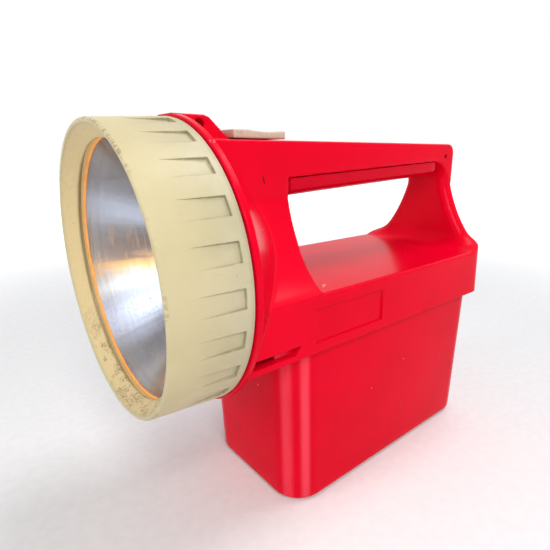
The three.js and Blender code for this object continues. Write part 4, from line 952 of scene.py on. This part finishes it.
# Finishes
marks = dict(
    scratch=((15, -67.9, 153.8), (15, -67.1, 151.2), 0.35),
    scuffs=(((12, -49.5, 152.0), (12, -45.5, 148.6), 1.6), ((13, -50, 150.0), (9, -47, 145.5), 1.2),
            ((27.5, -70.5, 58), (28.5, -70.0, 45), 0.35), ((33.0, -66.0, 52), (33.6, -65.6, 30), 0.3),
            ((31.0, -67.6, 26), (34.0, -64.8, 24), 0.5), ((29.8, -68.5, 36), (30.2, -68.3, 20), 0.25),
            ((2, -71.9, 12), (7, -71.8, 8), 0.5), ((-12, -71.8, 30), (-9, -71.8, 22), 0.4)),
    corner=((6, 62, 168.4, 2.2), (-4, 66, 168.5, 1.8), (10, 71, 168.2, 2.0), (0, 75, 166, 1.5),
            (13, 57, 168.3, 1.2)),
    specks=((38.7, -20.1, 47.3, 0.75), (38.7, 5.5, 55.6, 0.6), (11.9, -73.0, 57.8, 0.7), (38.6, -12, 52, 0.4),
            (38.9, 22.0, 61.0, 0.4), (31.8, -48.6, 107.2, 1.0), (33.5, -50.5, 107.4, 0.7)),
    rimFade=(0.5, 1.5), rim=((49.9, -100, 142.3), (51.4, -100, 140.3), (52.4, -100, 138.6),
                             (53.0, -100, 137.0), (32.4, -100, 166.1)),
)


# The two pale bands that run up each corner of the case are painted highlights, the corner's sheen painted
# into the colour; they are given in degrees round the corner
def redPlastic(name="red_plastic", wear=0.25, shade=1.0, paintedHighlightBands=()):
    f = Finish(name)
    cloud = f.noise(45, 3, 0.55)
    fine = f.noise(1.4, 4, 0.6)
    swirl = f.noise(11, 5, 0.65, (1, 1, 0.35))
    tone = f.blend(cloud.ramp(0.35, 0.7), (0.72 * shade, 0.0005, 0.019 * shade),
                   (0.66 * shade, 0.0005, 0.016))
    if paintedHighlightBands:
        cornerX = abs(f.x) - f.z * case["draft"] - (case["halfWidth"] - case["corner"])
        cornerY = abs(f.y) - f.z * case["draft"] - (case["halfLength"] - case["corner"])
        turn = cornerY.math("ARCTAN2", cornerX) * (180 / math.pi)
        highlightMasks = [abs(turn - place).fade(half * 0.2, half) * strength for place, half, strength in paintedHighlightBands]
        band = highlightMasks[0].most(highlightMasks[1]) * f.noise(6, 4, 0.6, (1, 1, 0.15)).ramp(0.2, 0.6, (0.6, 1.0))
        # painted highlight: paler red bands up the case's corners
        tone = f.blend(band, tone, (0.90, 0.085, 0.13))
    grime = swirl.ramp(0.75 - wear * 0.6, 0.80) * wear
    tone = f.blend(grime, tone, (0.34, 0.004, 0.012))
    pale = f.specks(13, 0.28, 0.30)
    for *place, size in marks["specks"]:
        pale = pale.most(f.pointDistance(*place).fade(size * 0.5, size))
    chips = f.noise(0.9, 3, 0.6).ramp(0.52, 0.56)
    for place in marks["rim"]:
        pale = pale.most(f.pointDistance(*place).fade(*marks["rimFade"]) * chips)
    for *place, size in marks["corner"]:
        pale = pale.most(f.pointDistance(*place).fade(size * 0.4, size) * chips)
    tone = f.blend(pale * 0.75, tone, (0.85, 0.62, 0.60))
    start, end, size = marks["scratch"]
    dark = f.lineDistance(start, end).fade(size * 0.6, size)
    for start, end, size in marks["scuffs"]:
        dark = dark.most(f.lineDistance(start, end).fade(size * 0.3, size) * swirl.ramp(0.42, 0.6) * 0.7)
    tone = f.blend(dark, tone, (0.03, 0.01, 0.012))
    scored = f.noise(0.5, 2, 0.5, (1, 0.05, 0.4)).ramp(0.66, 0.72)
    rough = 0.17 + fine * 0.08 + grime * 0.5 + scored * 0.05 + pale * 0.3 + dark * 0.3
    normal = f.bump(fine + scored * 0.2, 0.02, 0.35, f.edges(0.5))
    return f.painted(Base_Color=tone, Roughness=rough, Normal=normal, Specular_IOR_Level=0.045)


# Where the ring's marks and its painted shade lie, in millimetres along the lamp's axis or out from it
cream = dict(frontFade=(-125, -101), insideFade=(52.6, 53.6), soilRise=(-40, -18), rimFace=(-129.9, -129.3),
             rimOut=(53.9, 54.4), dentRise=(36, 42), dentAcross=(0, 4), sideOut=(54.0, 54.4),
             recessFront=-110, recessRear=(-104.9, -104.6), crevice=104.8, creviceHalf=(3.3, 3.5), seam=102.6,
             sideRound=56.62, sideSlope=0.0552)


def creamPlastic():
    f = Finish("cream_plastic")
    s = cream
    dz, away = f.fromAxis()
    fine = f.noise(1.2, 4, 0.6)
    tone = f.blend(f.noise(26, 4, 0.6).ramp(0.35, 0.68), (0.50, 0.45, 0.30), (0.42, 0.38, 0.24))
    tone = f.blend(f.y.fade(*s["frontFade"]) * 0.45, tone, (0.62, 0.50, 0.25))
    inner = away.fade(*s["insideFade"])
    tone = f.blend(inner * 0.75, tone, (0.70, 0.53, 0.26))
    streak = f.noise(2.4, 5, 0.7, (1, 0.25, 1)).ramp(0.56, 0.78)
    tone = f.blend(streak * 0.35, tone, (0.38, 0.30, 0.17))
    patch = f.noise(6, 3, 0.6).ramp(0.42, 0.60)
    soil = inner * dz.fade(*s["soilRise"]) * patch * f.noise(0.55, 3, 0.65).ramp(0.50, 0.57)
    rimEdge = f.y.fade(*s["rimFace"]) * away.ramp(*s["rimOut"])
    notch = f.noiseAt(f.vector(dz.math("ARCTAN2", f.x) * 42, f.y * 0.25, 0.0), 2.0).ramp(0.48, 0.56)
    dented = dz.ramp(*s["dentRise"]) * f.x.ramp(*s["dentAcross"])
    chip = rimEdge * notch * dented.most(f.noise(14, 3, 0.5).ramp(0.50, 0.62) * 0.6)
    dark = soil.most(chip * 0.5).most(f.specks(5.5, 0.32, 0.3) * 0.5)
    tone = f.blend(dark, tone, (0.20, 0.11, 0.045))
    # Painted shade: darker along the walls of the finger recesses, at their rear ends and along the step near
    # the rear
    sector = 2 * math.pi / ring["count"]
    share = dz.math("ARCTAN2", f.x) / sector
    across = abs(share - share.math("ROUND")) * sector * away
    wall = abs(across - ring["width"] / 2).fade(0.08, 0.45)
    end = ring["rear"] - ring["band"] - ring["length"]
    wall = wall * f.y.ramp(end, s["recessFront"]) * f.y.fade(*s["recessRear"])
    behind = abs(f.y + s["crevice"]).fade(0.05, 0.4) * across.fade(*s["creviceHalf"])
    line = abs(f.y + s["seam"]).fade(0.05, 0.3) * 0.7
    crevice = wall.most(behind).most(line) * away.ramp(*s["sideOut"]) * f.noise(3.5, 4, 0.6).ramp(0.3, 0.6)
    tone = f.blend(crevice * 0.32, tone, (0.16, 0.11, 0.06))
    # darker in patches on the floors of the finger recesses
    recess = s["sideRound"] - (ring["rear"] - f.y) * s["sideSlope"] - away
    recessFloorDarker = recess.ramp(0.25, 0.8) * f.noise(1.8, 4, 0.6).ramp(0.45, 0.75)
    tone = f.blend(recessFloorDarker * 0.12, tone, (0.33, 0.29, 0.19))
    rough = 0.40 + fine * 0.15 + dark * 0.3 + streak * 0.1
    height = fine * 0.5 - chip * 4 - soil * 0.8
    return f.painted(Base_Color=tone, Roughness=rough, Normal=f.bump(height, 0.06, 0.5, f.edges(0.25)),
                     Specular_IOR_Level=0.4)


def pinkCreamPlastic():
    f = Finish("pink_cream_plastic")
    cloud = f.noise(6, 4, 0.6)
    fine = f.noise(0.8, 4, 0.6)
    tone = f.blend(cloud.ramp(0.3, 0.7), (0.58, 0.50, 0.39), (0.50, 0.40, 0.31))
    grime = f.noise(2.2, 5, 0.7, (0.3, 1, 1)).ramp(0.52, 0.72)
    tone = f.blend(grime * 0.5, tone, (0.36, 0.22, 0.17))
    # painted shade: the slider's bottom millimetre is darker, a shadow painted where it sits on the handle
    edge = f.z.fade(slider["low"], slider["low"] + 1) * 0.6
    tone = f.blend(edge, tone, (0.32, 0.20, 0.15))
    rough = 0.42 + fine * 0.2 + grime * 0.15
    return f.painted(Base_Color=tone, Roughness=rough, Normal=f.bump(fine, 0.05, 0.4, f.edges(0.3)),
                     Specular_IOR_Level=0.4)


def clearGlass(name, gloss):
    f = Finish(name)
    dust = f.noise(1.6, 4, 0.6).ramp(0.60, 0.85)
    smear = f.noise(16, 4, 0.6, (1, 1, 0.4)).ramp(0.45, 0.75)
    clear = f.made("ShaderNodeBsdfTransparent", Color=rgb(0.97, 0.98, 0.98))
    shine = f.surface(Base_Color=f.blend(dust, (0.92, 0.94, 0.96), (0.8, 0.78, 0.74)),
                      Roughness=0.03 + smear * 0.12, Metallic=1.0)
    return f.done(f.node("ShaderNodeMixShader", None, [gloss + dust * 0.008 + smear * 0.02, clear, shine]))


def gasketRubber():
    f = Finish("gasket_rubber")
    cloud = f.noise(5, 4, 0.6)
    fine = f.noise(0.8, 3, 0.6)
    tone = f.blend(cloud.ramp(0.3, 0.7), (0.95, 0.40, 0.10), (0.80, 0.30, 0.07))
    outer = f.fromAxis()[1].ramp(*lamp["gasketSeen"])
    tone = f.blend(outer, tone, (0.78, 0.58, 0.31))
    # painted light: the gasket glows by emission though it is no lamp, orange on its inner part and tan on
    # the outer band
    glow = f.blend(outer, tone, (0.60, 0.41, 0.19))
    return f.painted(Base_Color=tone, Roughness=0.45 + fine * 0.2, Normal=f.bump(fine, 0.03, 0.4),
                     Emission_Color=glow, Emission_Strength=0.6)


# The mirror's painted reflections: streaks that run from the bulb to the rim, with degrees about the axis,
# half width, strength and tone
reflectionTones = dict(dull=(0.2, 0.18, 0.19), grey=(0.4, 0.35, 0.35), brown=(0.2, 0.12, 0.08),
                   warm=(1.0, 0.55, 0.2), cool=(0.75, 0.8, 1.0), white=(1.0, 1.0, 1.0))
paintedReflections = ((45, 45, 0.7, "grey"), (152, 20, 0.65, "cool"), (178, 16, 0.9, "brown"), (191, 10, 1.0, "warm"),
           (219, 26, 1.0, "cool"), (201, 10, 1.0, "white"), (265, 13, 0.8, "grey"), (279, 10, 0.4, "warm"))


# Where the painted reflections fade, in millimetres out, and where the warm, cool and hot ones lie, as shares
# of a turn
mirror = dict(rimHaze=(43, 49), hotFade=(38, 50), twistFrom=46, twist=0.0008, warm=(0.44, 0.49),
              warmEnd=(0.53, 0.55), cool=(0.575, 0.60), coolEnd=(0.635, 0.66), hot=(0.51, 0.54),
              hotEnd=(0.60, 0.66))


def reflectorMetal():
    f = Finish("reflector_metal")
    s = mirror
    dz, away = f.fromAxis()
    turn = dz.math("ARCTAN2", f.x) / (2 * math.pi)
    fibre = f.noiseAt(f.vector(f.x / away * 9, dz / away * 9, away * 0.02), 5.0, 0.7) - 0.5
    wander = f.noise(20, 2, 0.5) - 0.5
    angle = (turn + wander * 0.03 + fibre * 0.035 + (s["twistFrom"] - away) * s["twist"]).math("FRACT")
    # painted reflection: what the mirror reflects is painted into its colour as streaks, swirls and warm
    # glints along the grooves
    metal = reflectionTones["dull"]
    for place, half, strength, tone in paintedReflections:
        metal = f.blend(abs(angle * 360 - place).fade(0, half) * strength, metal, reflectionTones[tone])
    metal = f.blend(away.ramp(*s["rimHaze"]) * 0.45, metal, (0.40, 0.36, 0.38))
    haze = f.noise(13, 3, 0.5).ramp(0.4, 0.8)
    metal = f.blend(haze * 0.15, metal, (0.42, 0.36, 0.34))
    groove = f.noiseAt(f.vector(away * 1.6, turn * 14, 0.0), 3.0, 0.6)
    metal = f.blend(groove.ramp(0.35, 0.7) * 0.25, metal, (0.60, 0.58, 0.62), "MULTIPLY")
    warm = angle.ramp(*s["warm"]) * angle.fade(*s["warmEnd"]) * groove.ramp(0.52, 0.66)
    metal = f.blend(warm * 0.4, metal, (0.85, 0.42, 0.20))
    swirl = abs(f.noise(5.0, 2, 0.5) - 0.5).fade(0.0, 0.014)
    cool = angle.ramp(*s["cool"]) * angle.fade(*s["coolEnd"])
    metal = f.blend(swirl * cool * 0.8, metal, (0.28, 0.34, 0.72))
    metal = f.blend(swirl * (1 - cool) * 0.10, metal, (0.90, 0.90, 0.95))
    # painted light: the mirror glows by emission, faintly all over and fully in the hot streak, though it is
    # no lamp
    hot = angle.ramp(*s["hot"]) * angle.fade(*s["hotEnd"]) * (1 - away.ramp(*s["hotFade"]) * 0.7)
    glow = f.blend(hot, f.blend(0.9, metal, (0, 0, 0)), metal)
    return f.painted(Base_Color=metal, Roughness=0.16 + haze * 0.12, Metallic=1.0,
                     Normal=f.bump(haze, 0.02, 0.15), Emission_Color=glow, Emission_Strength=0.9)


# Two colours, the size of their clouds, roughness and its spread, metallic, and the stretch along each axis
plainFinishes = {
    "foot_rubber": ((0.03, 0.03, 0.03), (0.05, 0.05, 0.05), 3, 0.7, 0.2),
    "contact_brass": ((0.72, 0.56, 0.26), (0.55, 0.4, 0.18), 5, 0.3, 0.2, 1.0),
    "screw_steel": ((0.55, 0.56, 0.58), (0.4, 0.4, 0.42), 3, 0.3, 0.2, 1.0),
    "fibre_board": ((0.2, 0.1, 0.05), (0.14, 0.07, 0.03), 4, 0.7, 0.2, 0.0, (1, 0.2, 1)),
    "black_plastic": ((0.03, 0.03, 0.035), (0.02, 0.02, 0.02), 4, 0.4, 0.2),
    "cell_jacket": ((0.1, 0.16, 0.28), (0.08, 0.13, 0.22), 8, 0.3, 0.2),
}


def plain(name, first, second, grain, rough, spread, metallic=0.0, factors=(1, 1, 1)):
    f = Finish(name)
    fine = f.noise(grain / 8, 4, 0.6, factors)
    tone = f.blend(f.noise(grain, 4, 0.6, factors).ramp(0.3, 0.7), first, second)
    return f.painted(Base_Color=tone, Roughness=rough + fine * spread, Metallic=metallic,
                     Normal=f.bump(fine, 0.03, 0.4))


def makeFinishes():
    made = {name: plain(name, *values) for name, values in plainFinishes.items()}
    for name, gloss in (("clear_lens", 0.045), ("bulb_glass", 0.16)):
        made[name] = clearGlass(name, gloss)
    return made | {"red_plastic": redPlastic(), "cream_plastic": creamPlastic(),
                   "reflector_metal": reflectorMetal(), "pink_cream_plastic": pinkCreamPlastic(),
                   "gasket_rubber": gasketRubber()}


# Floor, light and camera
stage = dict(fade=(250, 1100), half=3000, white=1.0, room=0.42, lights=(
    ("key", (0.75, -0.35, 0.75), 0.4, 6.5, (1.0, 0.98, 0.95)),
    ("top", (0.1, 0.35, 1.1), 0.5, 6, (0.97, 0.98, 1.0)),
    ("front", (-0.25, -1.1, 0.55), 0.45, 3, (1.0, 1.0, 1.0))), aim=(0, 0, 0.1))


def makeStage():
    f = Finish("floor_paint")
    grain = f.noise(5, 3, 0.5)
    tone = f.blend(grain.ramp(0.3, 0.7), (0.80, 0.80, 0.80), (0.77, 0.77, 0.78))
    far = ((f.x * f.x + f.y * f.y) ** 0.5).ramp(*stage["fade"])
    glow = f.blend(far, (0, 0, 0), (0.9, 0.9, 0.9))
    paint = f.painted(Base_Color=tone, Roughness=0.6 + grain * 0.1, Emission_Color=glow,
                      Emission_Strength=1.0, Specular_IOR_Level=0.2)
    half = stage["half"]
    objectOf("floor", [(-half, -half, 0), (half, -half, 0), (half, half, 0), (-half, half, 0)],
                      [(0, 1, 2, 3)], paint)
    world = bpy.data.worlds.new("studio")
    bpy.context.scene.world = world
    world.use_nodes = True
    world.node_tree.nodes.clear()
    tree = Tree(world.node_tree)
    path = tree.node("ShaderNodeLightPath", output="Is Camera Ray")
    rays = path.socket.node.outputs
    seen = path.most(Wire(tree, rays["Is Glossy Ray"])).most(Wire(tree, rays["Is Transmission Ray"]))
    white = tree.node("ShaderNodeBackground", None, [rgb(1, 1, 1), stage["white"]])
    room = tree.node("ShaderNodeBackground", None, [rgb(0.95, 0.97, 1.0), stage["room"]])
    both = tree.node("ShaderNodeMixShader", None, [seen, room, white])
    tree.made("ShaderNodeOutputWorld", Surface=both)
    for name, at, size, power, colour in stage["lights"]:
        light = bpy.data.lights.new(name, "AREA")
        light.shape, light.size, light.energy, light.color = "SQUARE", size, power, colour
        lampObject = bpy.data.objects.new(name, light)
        lampObject.location = at
        lampObject.rotation_euler = (Vector(at) - Vector(stage["aim"])).to_track_quat("Z", "Y").to_euler()
        bpy.context.scene.collection.objects.link(lampObject)


scene = bpy.context.scene
scene.view_settings.view_transform = "Standard"
view = dict(azimuth=49.03, elevation=17.52, roll=-0.17, place=(164.4, -173.75, 162.54), lens=28.09,
            shift=(-0.0582, 0.0268), sensor=36, clip=(0.005, 50))


def makeCamera():
    a, e, r = (math.radians(view[k]) for k in ("azimuth", "elevation", "roll"))
    back = Vector((math.sin(a) * math.cos(e), -math.cos(a) * math.cos(e), math.sin(e)))
    right = Vector((math.cos(a), math.sin(a), 0))
    up = back.cross(right)
    across = right * math.cos(r) + up * math.sin(r)
    above = up * math.cos(r) - right * math.sin(r)
    data = bpy.data.cameras.new("camera")
    data.lens, data.sensor_width, data.sensor_fit = view["lens"], view["sensor"], "HORIZONTAL"
    data.shift_x, data.shift_y = view["shift"]
    data.clip_start, data.clip_end = view["clip"]
    camera = bpy.data.objects.new("camera", data)
    matrix = Matrix((across, above, back)).transposed().to_4x4()
    matrix.translation = Vector(view["place"]) * unit
    camera.matrix_world = matrix
    bpy.context.scene.collection.objects.link(camera)
    bpy.context.scene.camera = camera


finishes = makeFinishes()
for part in frame["record"]["subparts"]:
    for place in nodes[part["node"]].material_slots:
        place.material = finishes[part["material_slot"]]
makeCamera()
makeStage()
makeHousing(finishes["red_plastic"])
makeCase(redPlastic("case_red", paintedHighlightBands=((27, 12, 0.62), (60, 15, 0.5))))
makeRing(finishes["cream_plastic"])
makeLamp(finishes)
makeBulb(finishes)
makeGrip(redPlastic("grip_red", 0.45, 0.85))
makeSlider(finishes["pink_cream_plastic"])
